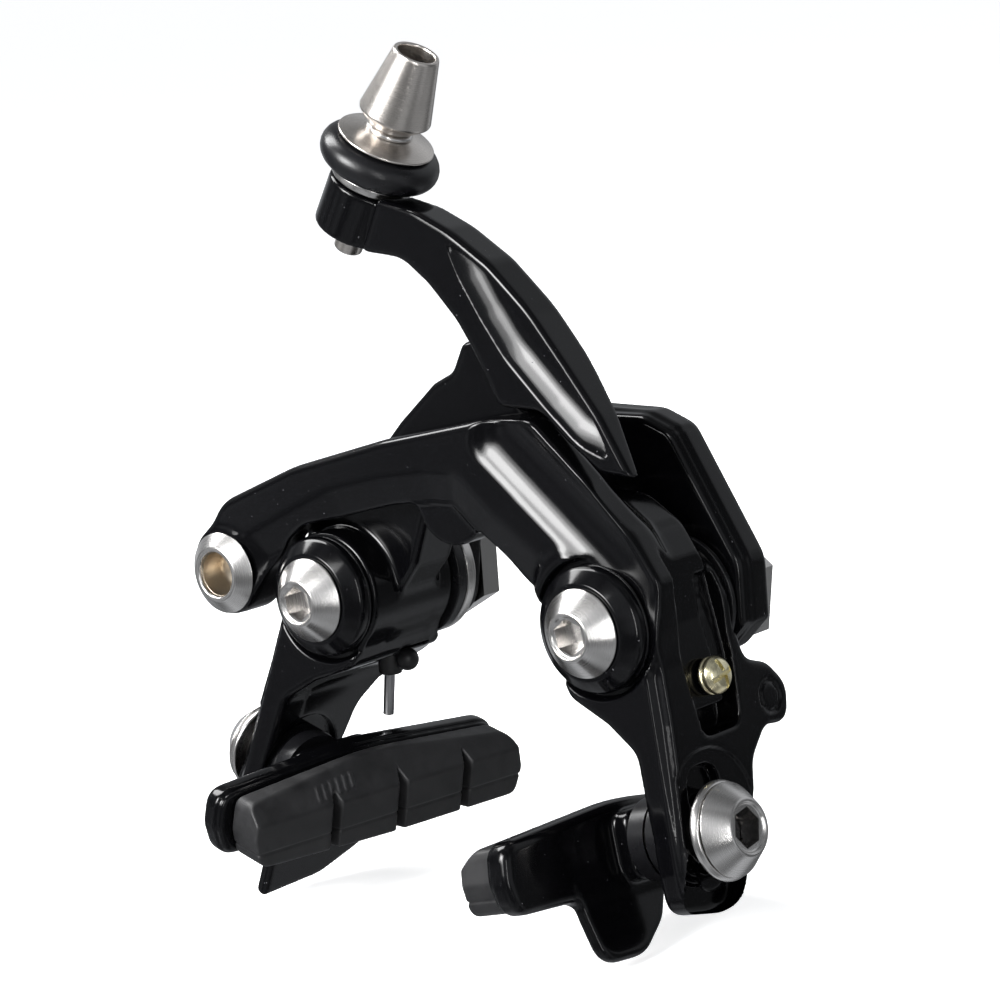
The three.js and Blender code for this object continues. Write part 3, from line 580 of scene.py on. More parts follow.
def anchor_arm():
    space = Space((-58.2, -3, -48), (45.5, 35, 33))
    side = SIDES["right"]
    beam = [
        (-56.4, 5.6, 5), (-50.2, 13.9, 9), (-33.4, 20.7, 30), (-13.2, 26.2, 30), (7, 30.4, 12),
        (17.5, 30.9, 4), (27.2, 22.2, 12), (33.5, 14.5, 8), (38.3, 7, 3),
        (37.5, -4, 4), (28, -10, 6), (19, -4, 6),
        (18.6, 3.4, 3), (12, 8.1, 10), (6, 12.1, 4), (0.2, 17.1, 3), (-4, 17, 4), (-13.2, 15.6, 12),
        (-23.3, 13.1, 8), (-32, 11, 6), (-41, 3, 5), (-46, -4, 4), (-54, -4, 5),
    ]
    shoulder = [
        (12, 12, 4), (17, 18, 4), (27, 18.2, 7), (33.6, 13.9, 7), (38, 7, 3),
        (37.6, 0, 0), (28, -8, 0), (18, -4, 0),
    ]
    shape = space.slab(beam, ARM_FRONT, ARM_REAR, 1.7)
    anchor_at, pivot_at = (ANCHOR[0], 0, ANCHOR[1]), (PIVOT_X, 0, 0)
    anchor = space.rod(anchor_at, ALONG_Y, ANCHOR_R - 0.15, ARM_FRONT, ARM_REAR + 0.5)
    link = space.rod((LINK[0], 0, LINK[1]), ALONG_Y, 7, ARM_FRONT + 2, ARM_REAR)
    shape = join(join(shape, anchor, 2), link, 1.5)
    hub = space.rod(pivot_at, ALONG_Y, HUB_R, HUB_FRONT, HUB_REAR, 0.8)
    rear = join(space.slab(shoulder, ARM_REAR - 3, 19.8, 1.6), hub, 1.5)
    shape = join(join(shape, rear, 4.0), leg_field(space, side), 1.6)
    shape = cut(shape, space.rod((-PIVOT_X, 0, 0), ALONG_Y, HUB_R + 1.4, -9, 12), 0.8)
    under = [
        (19, -4), (18.6, 3.4), (12, 8.1), (6, 12.1), (0.2, 17.1), (-4, 17), (-13.2, 15.6),
        (-23.3, 13.1), (-41, 5),
    ]
    facet = space.y - ARM_FRONT - 0.32 * (5.2 - space.path_distance(under))
    shape = cut(shape, common(facet, -space.rod(pivot_at, ALONG_Y, 12.5), 2.0), 0.25)
    scoop = space.rod((4, ARM_FRONT - 6.9, 34.6), (0.775, 0, -0.632), 9, 4.5, 60, 5)
    shape = cut(shape, scoop, 0.7)
    shape = cut(shape, space.rod(anchor_at, ALONG_Y, 4.7), 0.3)
    out, up = space.leg_frame(side)
    pocket = [(8.4, 24, 0), (21.8, 24, 0), (21.8, -9, 2), (19.9, -19.6, 2.5), (10.8, -19.6, 2.5)]
    depth = 0.75 - 2.4 * np.clip((up + 2) / 14, 0, 1)
    shape = cut(shape, common(space.side_view(pocket, up), LEG_OUTER - depth - out, 0.4), 0.3)
    gap = [(17.2, 4, 0.5), (21.8, 4, 1), (21.8, -10, 0), (18.3, -10, 0)]
    shape = cut(shape, common(space.side_view(gap, up), LEG_OUTER - 1.5 - out, 0.3), 0.3)
    window = [
        (18.3, -9.5, 0), (21.7, -9.5, 1), (19.9, -19.6, 2.5),
        (10.8, -19.6, 2.5), (10.9, -15.6, 0.3), (18.3, -15.6, 0.6),
    ]
    shape = cut(shape, common(space.side_view(window, up), LEG_WEB + 2 - out, 0.4), 0.35)
    dimple = np.sqrt((space.y - 28.4) ** 2 + (up + 17.4) ** 2)
    ring = common(np.abs(dimple - 2.3) - 0.25, LEG_OUTER - 0.35 - out, 0.1)
    shape = cut(hub_cut(shape, space, side), ring, 0.2)
    return finished(cast("anchor_arm_casting", shape, space), "anchor_arm", "gloss_black", "anchor_arm")


def barrel_arm():
    space = Space((-52, -3, -48), (35, 35, 70))
    side = SIDES["left"]
    limb = [
        (-16.4, 55.5, 1), (-8, 54.6, 8), (-2.7, 50.6, 12), (2.4, 45.2, 12), (5.2, 41, 4), (8, 36, 5),
        (9.6, 32.2, 3), (17.9, 31.9, 4), (22.8, 27.6, 4), (28.8, 23.2, 2), (34.8, 22.8, 0),
        (29.5, 31.7, 16), (23.4, 39.5, 30), (17.1, 47.4, 30), (9.7, 54.2, 14),
        (2.2, 59, 20), (-4.2, 61.9, 12),
        (-12, 63.9, 1),
    ]
    body = [
        (7, 43, 4), (-0.8, 41, 2), (-3.2, 36.4, 3), (-7.4, 34.4, 2), (-15, 28, 10), (-20, 23, 6),
        (-35, 14.7, 5), (-39.1, 5, 6), (-36, -6, 6), (-28, -10, 6), (-21, -7.5, 5), (-18.5, -1, 4),
        (-14, 4.5, 4), (-11, 12, 6), (-7.5, LINK[1] + ROLLER_R + 0.4, 1),
        (6, LINK[1] + ROLLER_R + 0.4, 3), (13.5, 28, 5), (17, 33.6, 3), (12, 40, 5),
    ]
    leaf = [
        (1.2, 58, 1), (9.5, 52.6, 14), (16.3, 46.3, 30), (22.5, 38.7, 30), (28.4, 30.9, 20), (31.4, 24.9, 1),
        (25.2, 27.2, 6), (19.6, 32.2, 8), (11.9, 39.8, 20), (7.6, 45.8, 20), (3.8, 51.9, 10),
    ]
    shape = space.slab(limb, LIMB_FRONT, LIMB_REAR, 1.2)
    lower = space.slab(body, BODY_FRONT, BODY_REAR, 1.4)
    back = (space.y - 12.9) + (40 - space.z) * 0.26
    shape = common(shape, np.minimum(back, 30), 1.0)
    shape = join(shape, lower, 1.6)
    boss = space.rod(BARREL_FOOT, BARREL_AXIS, 6.6, 3.6, 12.3, 0.7)
    shape = join(shape, boss, 1.2)
    shape = join(shape, space.rod((-PIVOT_X, 0, 0), ALONG_Y, HUB_R, HUB_FRONT, HUB_REAR, 0.8), 1.2)
    shape = join(shape, leg_field(space, side), 1.4)
    hollow = outline_distance(rounded(leaf), space.x, space.z)
    lower_edge = rounded([
        (32, 24.7, 0), (25.2, 27.2, 14), (19.6, 32.2, 20), (11.9, 39.8, 24),
        (7.6, 45.8, 24), (3.8, 51.9, 20), (0, 60, 0),
    ])
    across = space.path_distance(lower_edge.tolist())
    depth = 0.3 + 1.95 * np.sin(np.clip(across / 4.7, 0, 1) * math.pi / 2)
    shape = cut(shape, common(hollow, space.y - (LIMB_FRONT + depth), 0.8), 0.35)
    shape = cut(shape, space.rod(BARREL_FOOT, BARREL_AXIS, 7.4, 12.3, 18), 0.3)
    shape = cut(shape, space.rod(BARREL_FOOT, BARREL_AXIS, 3.1, -2, 20), 0.3)
    shape = hub_cut(shape, space, side)
    return finished(cast("barrel_arm_casting", shape, space), "barrel_arm", "gloss_black", "barrel_arm")


def bridge_plate():
    space = Space((-47, 24, -14), (44, 33, 32))
    arch = [
        (-37, 0, 9), (-36, 9, 6), (-16, 24, 12), (0, 29, 20), (22, 28.4, 6), (27.5, 26.2, 4),
        (39.2, 6.5, 6), (39.3, -3, 1), (34.5, -8, 4), (20, -9, 6), (16, 4, 6), (8, 16, 8),
        (-8, 16, 8), (-18, 6, 4), (-20, -9, 8), (-36, -9, 8),
    ]
    thick = [
        (-13, 21, 3), (0, 28.2, 20), (22, 28.4, 6), (27.5, 26.2, 4), (39.2, 6.5, 6),
        (39.3, -3, 1), (34.5, -8, 4), (20, -9, 6), (16, 4, 6), (8, 16, 8), (-8, 16, 4),
    ]
    shape = join(space.slab(arch, 28.1, 31.8, 0.8), space.slab(thick, 25.2, 31.8, 1.6), 1.5)
    for x in (-PIVOT_X, PIVOT_X):
        shape = cut(shape, space.rod((x, 0, 0), ALONG_Y, AXLE_R), 0.3)
    return finished(cast("bridge_plate_casting", shape, space), "frame_side", "gloss_black", "bridge_plate")


def pad_holder(name, side):
    half = PAD_LENGTH / 2
    space = Space((-12, -32, -23), (-1, 34, 9), STEP * 0.8)
    tray = [
        (-half - 0.4, -0.4, 5), (-half + 0.5, 5.2, 4.5), (0, PAD_HEIGHT / 2 + 0.7, 60), (half - 0.5, 4.4, 5),
        (half + 0.5, -1, 5), (half - 1, -6.6, 4), (0, -PAD_HEIGHT / 2 - 0.2, 60), (-half + 1, -5.8, 4.5),
    ]
    flat = outline_distance(rounded(tray), space.y - side["offset"], space.z)
    middle = (PAD_JOIN + 0.2 + HOLDER_BACK) / 2
    shape = common(flat, np.abs(space.x - middle) - (HOLDER_BACK - PAD_JOIN - 0.2) / 2, 1.8)
    boss = [(-5.5, 5.4, 3), (10, 5.4, 3), (10, -5.6, 3), (-5.5, -5.6, 3)]
    raised = outline_distance(rounded(boss), space.y, space.z)
    shape = join(shape, common(raised, np.abs(space.x + 5.2) - 2.5, 0.9), 0.9)
    fin = [*side["fin_edge"], (4, -8.6, 8), (10, 0, 0)]
    across, down = space.x - (HOLDER_BACK - 2), space.z + 4
    sheet_x = across * math.cos(FIN_TILT) - down * math.sin(FIN_TILT)
    sheet_z = across * math.sin(FIN_TILT) + down * math.cos(FIN_TILT)
    plan = outline_distance(rounded(fin), space.y - side["offset"] + 1.2, sheet_z)
    shape = join(shape, common(plan, np.abs(sheet_x) - 1.2, 1.1), 1.8)
    hole = np.sqrt(space.y**2 + space.z**2) - 4.5
    shape = cut(shape, common(hole, -9 - space.x, 0.3), 0.4)
    bore = np.sqrt((space.y - INSERT_SCREW_Y) ** 2 + (space.z + 0.5) ** 2) - 1.5
    shape = cut(shape, common(bore, -9.5 - space.x, 0.1), 0.2)
    groove = common(np.abs(space.x - PAD_JOIN - 1.0) - 0.22, -(flat + 0.5), 0.2)
    shape = cut(shape, groove, 0.3)
    piece = cast(name + "_pad_tray", shape, space, pad_matrix(side, 1))
    return finished(piece, side["body"], "gloss_black", name + "_pad_holder")


def pad_insert(name, side):
    half = PAD_LENGTH / 2
    space = Space((-19, -31, -9.5), (-9.5, 33, 9), STEP * 0.62)
    block = [
        (-half + 2.2, -0.6, 2), (-half + 3, 4.4, 2), (0, PAD_HEIGHT / 2, 60), (half - 1, 4, 3),
        (half, -2, 3), (half - 1.5, -6.4, 2), (0, -PAD_HEIGHT / 2 + 0.1, 60), (-half + 3, -5.5, 2.5),
    ]
    flat = outline_distance(rounded(block), space.y - side["offset"], space.z)
    middle = (PAD_FACE + PAD_JOIN - 0.1) / 2
    shape = common(flat, np.abs(space.x - middle) - (PAD_JOIN - 0.1 - PAD_FACE) / 2, 0.5)
    slope = math.hypot(8.2, 9.4)
    bevel = ((space.z - 1.2) * 9.4 - (space.x + 18.4) * 8.2) / slope
    shape = common(shape, bevel, 0.35)
    for y in (-10, 3.2, 16.4):
        lean = space.y - side["offset"] - y - 0.1 * space.z
        notch = (np.abs(lean) * 2.6 + space.x - PAD_FACE - 2.4) / math.hypot(2.6, 1)
        shape = cut(shape, notch, 0.25)
    parting = common(np.abs(space.z + 3.1) - 0.16, -(shape + 0.22), 0.1)
    shape = cut(shape, parting, 0.15)
    for k in range(6):
        y = side["offset"] - 12.5 + 1.4 * k
        centre_z = 3.4 + 0.12 * k
        leaning = np.abs(space.y - y - 0.35 * (space.z - centre_z))
        rib = np.maximum(leaning - 0.28, np.abs(space.z - centre_z) - 0.9)
        shape = join(shape, common(rib, shape - 0.22, 0.1), 0.2)
    piece = cast(name + "_pad_block", shape, space, pad_matrix(side, 1))
    return finished(piece, side["body"], "pad_rubber", name + "_pad_insert")


# ---------------------------------------------------------------- turned parts


def filleted(profile, pieces=5):
    """A lathe profile of (radius, station) or (radius, station, fillet) corners, with the fillets drawn."""
    points = []
    for i, corner in enumerate(profile):
        here = np.array(corner[:2], float)
        radius = corner[2] if len(corner) > 2 else 0
        if not radius or i in (0, len(profile) - 1):
            points.append(here)
            continue
        back = np.array(profile[i - 1][:2], float) - here
        ahead = np.array(profile[i + 1][:2], float) - here
        lengths = np.linalg.norm(back), np.linalg.norm(ahead)
        reach = min(radius, 0.45 * lengths[0], 0.45 * lengths[1])
        start, end = here + back / lengths[0] * reach, here + ahead / lengths[1] * reach
        for k in range(pieces + 1):
            t = k / pieces
            points.append((1 - t) ** 2 * start + 2 * t * (1 - t) * here + t * t * end)
    return points


def lathe(name, profile, matrix, segments=SEGMENTS):
    """A turned piece. Its profile runs along +X of its own frame, and a matrix places it."""
    points = filleted(profile)
    closed = np.allclose(points[0], points[-1])
    if closed:
        points = points[:-1]
    path = np.concatenate(([0], np.cumsum(np.linalg.norm(np.diff(points, axis=0), axis=1))))
    verts, marks, rings = [], [], []
    for (radius, station), mark in zip(points, path):
        ring = []
        count = 1 if radius < 1e-6 else segments
        for k in range(count):
            angle = 2 * math.pi * k / segments
            ring.append(len(verts))
            verts.append((station, radius * math.cos(angle), radius * math.sin(angle)))
            marks.append(mark)
        rings.append(ring)
    faces = []
    pairs = list(zip(rings, rings[1:])) + ([(rings[-1], rings[0])] if closed else [])
    for a, b in pairs:
        for k in range(segments):
            n = (k + 1) % segments
            quad = [a[k % len(a)], a[n % len(a)], b[n % len(b)], b[k % len(b)]]
            corners = [v for i, v in enumerate(quad) if v not in quad[:i]]
            if len(corners) > 2:
                faces.append(corners)
    local = np.array(verts)
    world = local @ matrix[:3, :3].T + matrix[:3, 3]
    obj = mesh_object(name, row(world), faces)
    attribute = obj.data.attributes.new("tool_path", "FLOAT", "POINT")
    attribute.data.foreach_set("value", np.array(marks, np.float32))
    obj.data.calc_loop_triangles()
    co = np.array([v.co for v in obj.data.vertices])
    tri = np.array([t.vertices for t in obj.data.loop_triangles])
    a, b, c = co[tri[:, 0]], co[tri[:, 1]], co[tri[:, 2]]
    volume = np.einsum("ij,ij->i", a, np.cross(b, c)).sum()
    if volume < 0:
        obj.data.flip_normals()
    obj.data.set_sharp_from_angle(angle=SHARP)
    return obj


def prism(sides, radius, low, high, matrix, turn=0.0):
    """A plain prism, used only to cut sockets."""
    verts = []
    for station in (low, high):
        for k in range(sides):
            angle = turn + 2 * math.pi * k / sides
            verts.append((station, radius * math.cos(angle), radius * math.sin(angle)))
    faces = [list(range(sides))[::-1], list(range(sides, 2 * sides))]
    faces += [[k, (k + 1) % sides, sides + (k + 1) % sides, sides + k] for k in range(sides)]
    world = np.array(verts) @ matrix[:3, :3].T + matrix[:3, 3]
    obj = mesh_object("cutter", row(world), faces)
    if np.linalg.det(matrix[:3, :3]) < 0:
        obj.data.flip_normals()
    return obj


def carve(obj, *cutters):
    """Takes cutters away from an object and removes them."""
    for cutter in cutters:
        modifier = obj.modifiers.new("carve", "BOOLEAN")
        modifier.object = cutter
        modifier.operation = "DIFFERENCE"
        modifier.solver = "EXACT"
        bpy.context.view_layer.update()
        shape = obj.evaluated_get(bpy.context.evaluated_depsgraph_get())
        mesh = bpy.data.meshes.new_from_object(shape)
        obj.modifiers.clear()
        obj.data = mesh
        bpy.data.objects.remove(cutter)
    obj.data.shade_smooth()
    obj.data.set_sharp_from_angle(angle=SHARP)
    return obj


def pivot_parts(name, side):
    x = side["sign"] * PIVOT_X
    at = axis_matrix((x, 0, 0), ALONG_Y)
    bolt = lathe(name + "_pivot_bolt_turned", [
        (0, -2.4), (2.95, -2.55, 0.15), (3.35, -2.95, 0.25), (3.75, -2.9, 0.25),
        (6.85, 0.05, 0.3), (6.8, 0.3, 0.1),
        (2.95, 0.3), (2.95, 40.6, 0.4), (2.4, 41), (0, 41),
    ], at)
    carve(bolt, prism(6, 2.9, -5, 1.6, at, 0.35))
    finished(bolt, "frame_side", "polished_steel", name + "_pivot_bolt")
    washer = lathe(name + "_cone_washer_turned", [
        (3.1, 0.45), (7.25, 0.45, 0.15), (7.5, 0.5, 0.2), (9.75, 2.3, 0.9), (9.8, 3.8, 0.3),
        (3.1, 3.8), (3.1, 0.45),
    ], at)
    finished(washer, "frame_side", "gloss_black", name + "_cone_washer")
    ring = lathe(name + "_dust_ring_turned", [
        (3.1, 3.95), (9.7, 3.95, 0.2), (9.7, 4.4, 0.2), (3.1, 4.4), (3.1, 3.95),
    ], at)
    finished(ring, "frame_side", "satin_black", name + "_dust_ring")


def barrel_parts():
    at = axis_matrix(BARREL_FOOT, BARREL_AXIS)
    barrel = lathe("barrel_turned", [
        (1.3, 0), (2.0, 0, 0.1), (2.3, 0.3, 0.2), (2.3, 2.5, 0.1), (2.85, 2.8, 0.1), (2.88, 21.6, 0.1),
        (3.2, 22.2, 0.3), (5.72, 24.35, 0.2), (5.83, 24.7, 0.2), (3.75, 35.0, 0.2), (3.6, BARREL_LENGTH, 0.1),
        (3.1, BARREL_LENGTH, 0.15), (3.0, 35.0, 0.1), (3.0, 25.6, 0.3), (1.3, 24.4), (1.3, 0),
    ], at)
    finished(barrel, "barrel", "nickel", "barrel")
    clip = lathe("barrel_clip", torus_profile(3.35, 0.42, 21.75), at)
    finished(clip, "barrel", "polished_steel")
    nut = lathe("thumb_nut_turned", [
        (3.12, 14.4), (3.9, 14.4, 0.1), (3.9, 19.7, 0.2), (7.3, 19.7, 0.2),
        (7.85, 19.9, 0.2), (7.8, 20.25, 0.2),
        (3.9, 21.35, 0.2), (3.12, 21.35, 0.1), (3.12, 14.4),
    ], at)
    finished(nut, "thumb_nut", "nickel", "thumb_nut")
    grip = lathe("grip_ring_moulded", torus_profile(7.1, 2.58, 16.9, 24), at)
    finished(grip, "thumb_nut", "rubber", "grip_ring")
    washer = lathe("barrel_washer_turned", [
        (3.2, 12.6), (6.4, 12.6, 0.15), (6.6, 12.9, 0.15), (6.6, 13.8, 0.3), (6.3, 14.1, 0.2),
        (3.2, 14.1), (3.2, 12.6),
    ], at)
    finished(washer, "barrel_arm", "polished_steel", "barrel_washer")


def torus_profile(mean, tube, station, pieces=16):
    points = []
    for k in range(pieces + 1):
        turn = 2 * math.pi * k / pieces
        points.append((mean + tube * math.cos(turn), station + tube * math.sin(turn)))
    return points


def anchor_parts():
    at = axis_matrix((ANCHOR[0], 0, ANCHOR[1]), ALONG_Y)
    sleeve = lathe("anchor_sleeve_turned", [
        (0, 7.8), (2.4, 7.7, 0.6), (3.6, 6.4, 0.6), (3.72, 1.4, 0.2), (3.95, 1.1, 0.15), (4.55, 1.1, 0.3),
        (6.88, 3.05, 0.25), (6.6, 3.1, 0.05), (4.55, 3.1), (4.55, 9.95), (2.3, 9.95), (2.3, 8.2), (0, 8.2),
    ], at)
    finished(sleeve, "anchor_arm", "polished_steel", "anchor_sleeve")
    lining = lathe("anchor_sleeve_lining", [
        (0, 7.7), (2.3, 7.6, 0.6), (3.5, 6.3, 0.6), (3.62, 1.9, 0.1), (3.78, 1.9), (3.78, 8), (0, 8),
    ], at)
    finished(lining, "anchor_arm", "bronze")
    washer = lathe("cable_clamp_washer_turned", [
        (2.5, 11.9), (6.1, 11.9, 0.2), (6.4, 12.2, 0.2), (6.4, 13.3, 0.2), (6.1, 13.6, 0.2),
        (2.5, 13.6), (2.5, 11.9),
    ], at)
    finished(washer, "anchor_arm", "polished_steel", "cable_clamp_washer")
    bolt = lathe("cable_clamp_bolt_turned", [
        (0, 8.3), (2.0, 8.3, 0.2), (2.2, 8.6), (2.2, 13.9), (4.5, 13.9, 0.1),
        (4.62, 14.2, 0.1), (4.62, 16.9, 0.2),
        (3.9, 17.4, 0.2), (0, 17.4),
    ], at)
    for k in range(6):
        side_at = at @ turn_matrix("X", math.radians(60 * k + 30)) @ move_matrix(0, 7, 0)
        carve(bolt, prism(4, 3 * math.sqrt(2), 13.95, 20, side_at, math.pi / 4))
    finished(bolt, "anchor_arm", "polished_steel", "cable_clamp_bolt")


def pad_hardware(name, side):
    on_leg = leg_matrix(side) @ move_matrix(0, PAD_BOLT_Y, -PAD_DROP)
    on_bolt, on_pad = pad_matrix(side, 0.5), pad_matrix(side, 1)
    bolt = lathe(name + "_pad_bolt_turned", [
        (0, -5.4), (2.6, -5.4, 0.1), (2.9, -5.0), (2.9, 12.3), (6.95, 12.3, 0.1), (7.2, 12.5, 0.25),
        (4.4, 15.95, 0.25), (3.9, 16, 0.25), (3.5, 15.5, 0.2), (0, 15.3),
    ], on_bolt)
    carve(bolt, prism(6, 3.15, 11.6, 18, on_bolt, 0.2))
    finished(bolt, side["body"], "polished_steel", name + "_pad_bolt")
    # A thin satin-black disc at the bottom of the pad bolt's hex socket: painted shade that darkens the
    # socket floor, not a real part.
    disc = [(0, 11.62), (2.6, 11.62), (2.6, 11.9), (0, 11.9)]
    painted_socket_shade = lathe(name + "_pad_bolt_socket_floor", disc, on_bolt)
    finished(painted_socket_shade, side["body"], "satin_black")
    outer = lathe(name + "_outer_washer_turned", [
        (3.2, 10.7), (7.4, 10.7, 0.15), (7.6, 10.9, 0.15), (7.6, 11.4, 0.25), (7.2, 12.05, 0.25),
        (3.2, 12.1), (3.2, 10.7),
    ], on_bolt)
    finished(outer, side["body"], "polished_steel", name + "_outer_washer")
    dome = [(r, BALL_CENTRE - math.sqrt(BALL_R**2 - r * r)) for r in (4.2, 4.8, 5.4, 6.0, 6.4, 6.8)]
    ball = lathe(name + "_ball_washer_turned", [(4.2, 4.7), *dome, (6.8, 4.7), (4.2, 4.7)], on_leg)
    finished(ball, side["body"], "satin_black", name + "_ball_washer")
    cup_r = BALL_R + 0.3
    dish = [(r, BALL_CENTRE - math.sqrt(cup_r**2 - r * r)) for r in (6.5, 6.0, 5.4, 4.9, 4.5)]
    cup = lathe(name + "_cup_washer_turned", [(4.5, -2.4), (6.5, -2.4), *dish, (4.5, -2.4)], on_pad)
    finished(cup, side["body"], "satin_black", name + "_cup_washer")


def insert_screw(name, side):
    """The grub screw that locks an insert in its tray, with a hexagon socket."""
    at = pad_matrix(side, 1) @ move_matrix(0, INSERT_SCREW_Y, -0.5)
    screw = lathe(name + "_insert_screw_turned", [
        (0, -9.2), (0.9, -9.2, 0.2), (1.3, -8.7, 0.1), (1.3, -6.1, 0.15), (1.1, -5.85, 0.1), (0, -5.85),
    ], at)
    carve(screw, prism(6, 0.7, -7.2, -4.8, at, 0.3))
    finished(screw, side["body"], "polished_steel", name + "_insert_screw")


def rear_rings():
    for name, x, inner, outer, low, high, slot in (
        ("left_rear_seal", -PIVOT_X, 5.15, 11, 24.1, 26.1, "satin_black"),
        ("left_thrust_washer", -PIVOT_X, 5.15, 11, 26.3, 28.3, "polished_steel"),
        ("right_rear_seal", PIVOT_X, 5.15, 10.6, 23.9, 24.9, "satin_black"),
    ):
        piece = lathe(name + "_turned", [
            (inner, low), (outer, low, 0.3), (outer, high, 0.3), (inner, high), (inner, low),
        ], axis_matrix((x, 0, 0), ALONG_Y))
        finished(piece, "frame_side", slot, name)


def centring_screw():
    side = SIDES["right"]
    at = leg_matrix(side) @ move_matrix(0, SCREW_Y, SCREW_Z)
    screw = lathe("centring_screw_turned", [
        (0, 3), (1.4, 3), (1.45, 9.3), (2.7, 9.3, 0.1), (2.9, 9.5, 0.1), (2.9, 9.8, 0.1), (2.7, 10.0, 0.1),
        (2.7, 10.15, 0.1), (2.93, 10.35, 0.1), (2.93, 10.9, 0.3), (2.2, 12.0, 0.7), (0, 12.5),
    ], at)
    for turn in (0.25, 0.25 + math.pi / 2):
        blade = at @ turn_matrix("X", turn) @ np.diag((1, 0.16, 1, 1))
        carve(screw, prism(4, 3.4, 11.5, 14, blade, math.pi / 4))
    finished(screw, "anchor_arm", "yellow_zinc", "centring_screw")


def link_parts():
    at = axis_matrix((LINK[0], 0, LINK[1]), ALONG_Y)
    roller = lathe("link_roller_turned", [
        (2.5, 10.3), (4.2, 10.3, 0.2), (ROLLER_R, 10.5, 0.2), (ROLLER_R, 14.8, 0.2), (4.2, 15, 0.2),
        (2.5, 15), (2.5, 10.3),
    ], at)
    finished(roller, "link_roller", "polished_steel", "link_roller")


def spring(name, side):
    """The return spring: a drawn-wire coil and the leg that leaves by the plastic guide."""
    sign = -side["sign"]
    x = side["sign"] * PIVOT_X
    points = []
    for i in range(SPRING_STEPS + 1):
        angle = -math.pi / 2 - sign * SPRING_TURNS * 2 * math.pi * (SPRING_STEPS - i) / SPRING_STEPS
        station = SPRING_REAR - SPRING_DEPTH * i / SPRING_STEPS
        points.append((x + SPRING_R * math.cos(angle), station, SPRING_R * math.sin(angle)))
    points += [(x, WIRE_Y, -8.6), (x - sign * 0.1, WIRE_Y, -10.6), side["spring_foot"]]
    curve = bpy.data.curves.new(name + "_spring", "CURVE")
    curve.dimensions = "3D"
    curve.bevel_depth = WIRE_R / 1000
    curve.bevel_resolution = 6
    curve.use_fill_caps = True
    spline = curve.splines.new("NURBS")
    spline.order_u = 4
    spline.use_endpoint_u = True
    spline.resolution_u = 3
    spline.points.add(len(points) - 1)
    for target, point in zip(spline.points, row(points)):
        target.co = (*point, 1)
    holder = bpy.data.objects.new(name + "_curve", curve)
    bpy.context.scene.collection.objects.link(holder)
    bpy.context.view_layer.update()
    mesh = bpy.data.meshes.new_from_object(holder.evaluated_get(bpy.context.evaluated_depsgraph_get()))
    bpy.data.objects.remove(holder)
    mesh.shade_smooth()
    wire = bpy.data.objects.new(name + "_spring_wire", mesh)
    bpy.context.scene.collection.objects.link(wire)
    finished(wire, side["body"], "spring_wire", name + "_return_spring")


def spring_guide(name, side):
    """The plastic guide: a sleeve on the wire, with a round lobe beside it."""
    sign = -side["sign"]
    x = side["sign"] * PIVOT_X - sign * 0.6
    lobe_x, lobe_y, lobe_z = x + sign * 3.5, 18.9, -13.6
    low, high = (min(x, lobe_x) - 3, 15.5, -17), (max(x, lobe_x) + 3, 21.5, -10.5)
    space = Space(low, high, 0.16)
    middle = (x, WIRE_Y, -14.4)
    shape = space.rod(middle, (0, 0, 1), 2.0, -1.9, 1.9, 0.7)
    ball = np.sqrt((space.x - lobe_x) ** 2 + (space.y - lobe_y) ** 2 + (space.z - lobe_z) ** 2) - 1.9
    shape = join(shape, ball, 0.9)
    shape = cut(shape, space.rod(middle, (0.03 * sign, 0, 1), 1.15), 0.3)
    piece = cast(name + "_guide_moulded", shape, space)
    finished(piece, side["body"], "guide_plastic", name + "_spring_guide")


anchor_arm()
barrel_arm()
bridge_plate()
barrel_parts()
anchor_parts()
rear_rings()
centring_screw()
link_parts()
for side_name, side_facts in SIDES.items():
    pivot_parts(side_name, side_facts)
    pad_hardware(side_name, side_facts)
    pad_holder(side_name, side_facts)
    pad_insert(side_name, side_facts)
    insert_screw(side_name, side_facts)
    spring(side_name, side_facts)
    spring_guide(side_name, side_facts)

# CAD nodes that stay take the same materials.
slots = {s["node"]: s["material_slot"] for s in frame["record"]["subparts"]}
for node_name, node in frame["nodes"].items():
    if not node.hide_render:
        node.data.materials.clear()
        node.data.materials.append(MATERIALS[slots[node_name]])

# ---------------------------------------------------------------- floor, light and camera


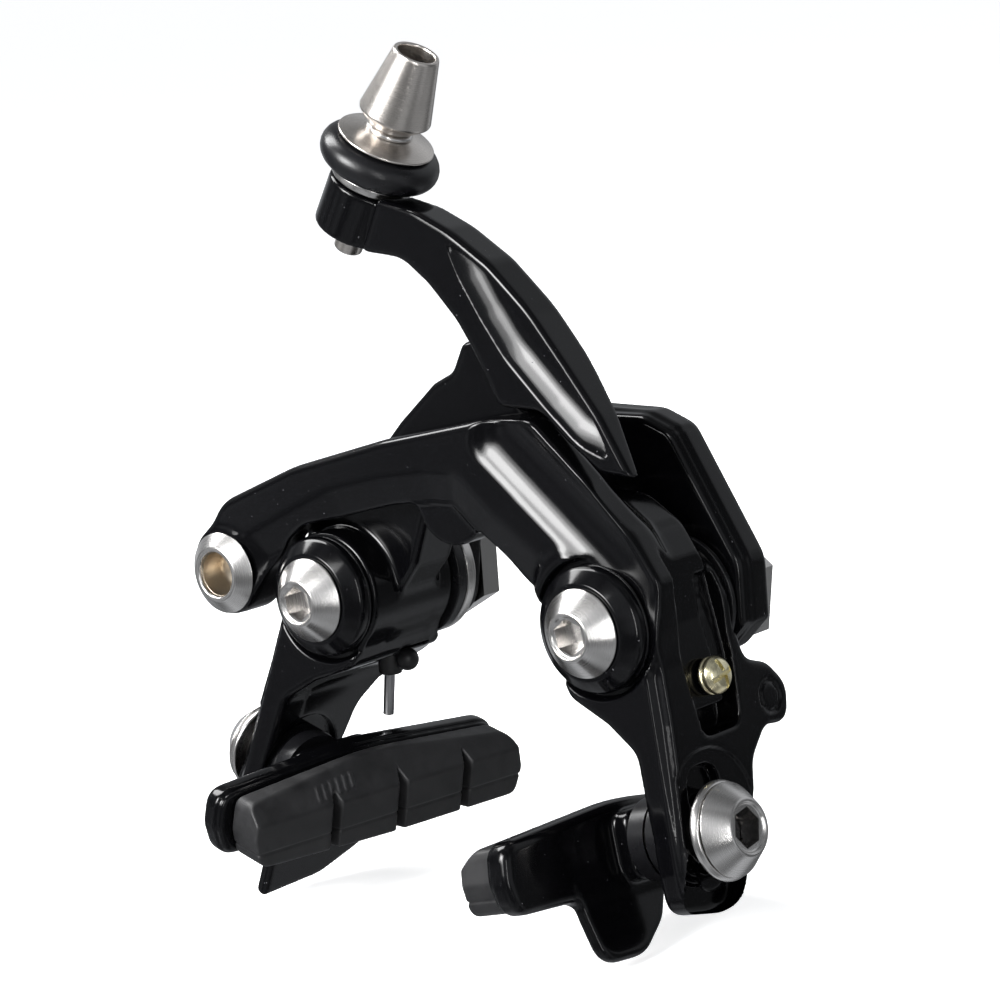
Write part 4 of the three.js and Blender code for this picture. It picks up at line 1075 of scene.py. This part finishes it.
def floor():
    mesh = bpy.data.meshes.new("floor")
    z = cad_box[0][2] - FLOOR_DROP
    signs = ((-1, -1), (1, -1), (1, 1), (-1, 1))
    mesh.from_pydata([(FLOOR_REACH * a, FLOOR_REACH * b, z) for a, b in signs], [], [(0, 1, 2, 3)])
    obj = bpy.data.objects.new("floor", mesh)
    bpy.context.scene.collection.objects.link(obj)
    mat, tree, bsdf = node_tree("floor_paper")
    at = object_coords(tree)
    cloud = noise(tree, 3, 4, 0.5, at)
    tree.links.new(mix_color(tree, cloud, (0.86, 0.86, 0.86), (0.9, 0.9, 0.9)), bsdf.inputs["Base Color"])
    bsdf.inputs["Roughness"].default_value = 0.9
    bsdf.inputs["Specular IOR Level"].default_value = 0.1
    bsdf.inputs["Emission Color"].default_value = (1, 1, 1, 1)
    bsdf.inputs["Emission Strength"].default_value = 0.7
    mesh.materials.append(mat)
    obj.visible_glossy = False


def area_light(name, at, target, size, energy, size_y=None):
    data = bpy.data.lights.new(name, "AREA")
    data.energy = energy
    data.shape = "RECTANGLE"
    data.size = size
    data.size_y = size_y or size
    obj = bpy.data.objects.new(name, data)
    bpy.context.scene.collection.objects.link(obj)
    obj.location = at
    obj.rotation_euler = (Vector(target) - Vector(at)).to_track_quat("-Z", "Y").to_euler()


def studio():
    world = bpy.data.worlds.new("studio")
    bpy.context.scene.world = world
    world.use_nodes = True
    tree = world.node_tree
    background = tree.nodes["Background"]
    direction = tree.nodes.new("ShaderNodeTexCoord").outputs["Generated"]
    patches = ramp(tree, noise(tree, 1.7, 2, 0.5, direction), 0.4, 0.62, 0, 1)
    grey = mix_color(tree, patches, (0.13, 0.135, 0.14), (0.62, 0.64, 0.67))
    tree.links.new(grey, background.inputs["Color"])
    background.inputs["Strength"].default_value = 1.0
    centre = (0, -0.02, 0.015)
    area_light("key_wide", (-0.16, -0.8, 0.42), centre, 0.66, 7, 0.52)
    area_light("key_middle", (-0.159, -0.79, 0.416), centre, 0.46, 7, 0.36)
    area_light("key_core", (-0.158, -0.78, 0.412), centre, 0.26, 3.6, 0.2)
    area_light("top_left", (-0.5, -0.1, 0.62), centre, 0.3, 7, 0.5)
    area_light("right_strip", (0.72, -0.6, 0.12), centre, 0.06, 1.6, 0.6)


def camera():
    data = bpy.data.cameras.new("camera")
    data.sensor_width = 36
    data.lens = 113.28
    data.clip_start = 0.01
    data.clip_end = 100
    obj = bpy.data.objects.new("camera", data)
    bpy.context.scene.collection.objects.link(obj)
    right = Vector((0.757732, 0.648783, -0.070157))
    up = Vector((-0.067580, 0.184948, 0.980422))
    back = Vector((0.649057, -0.738156, 0.183986))
    turn = Matrix((right, up, back)).transposed().to_4x4()
    obj.matrix_world = Matrix.Translation((0.320645, -0.384515, 0.106210)) @ turn
    bpy.context.scene.camera = obj


floor()
studio()
camera()
bpy.context.scene.view_settings.view_transform = "Standard"
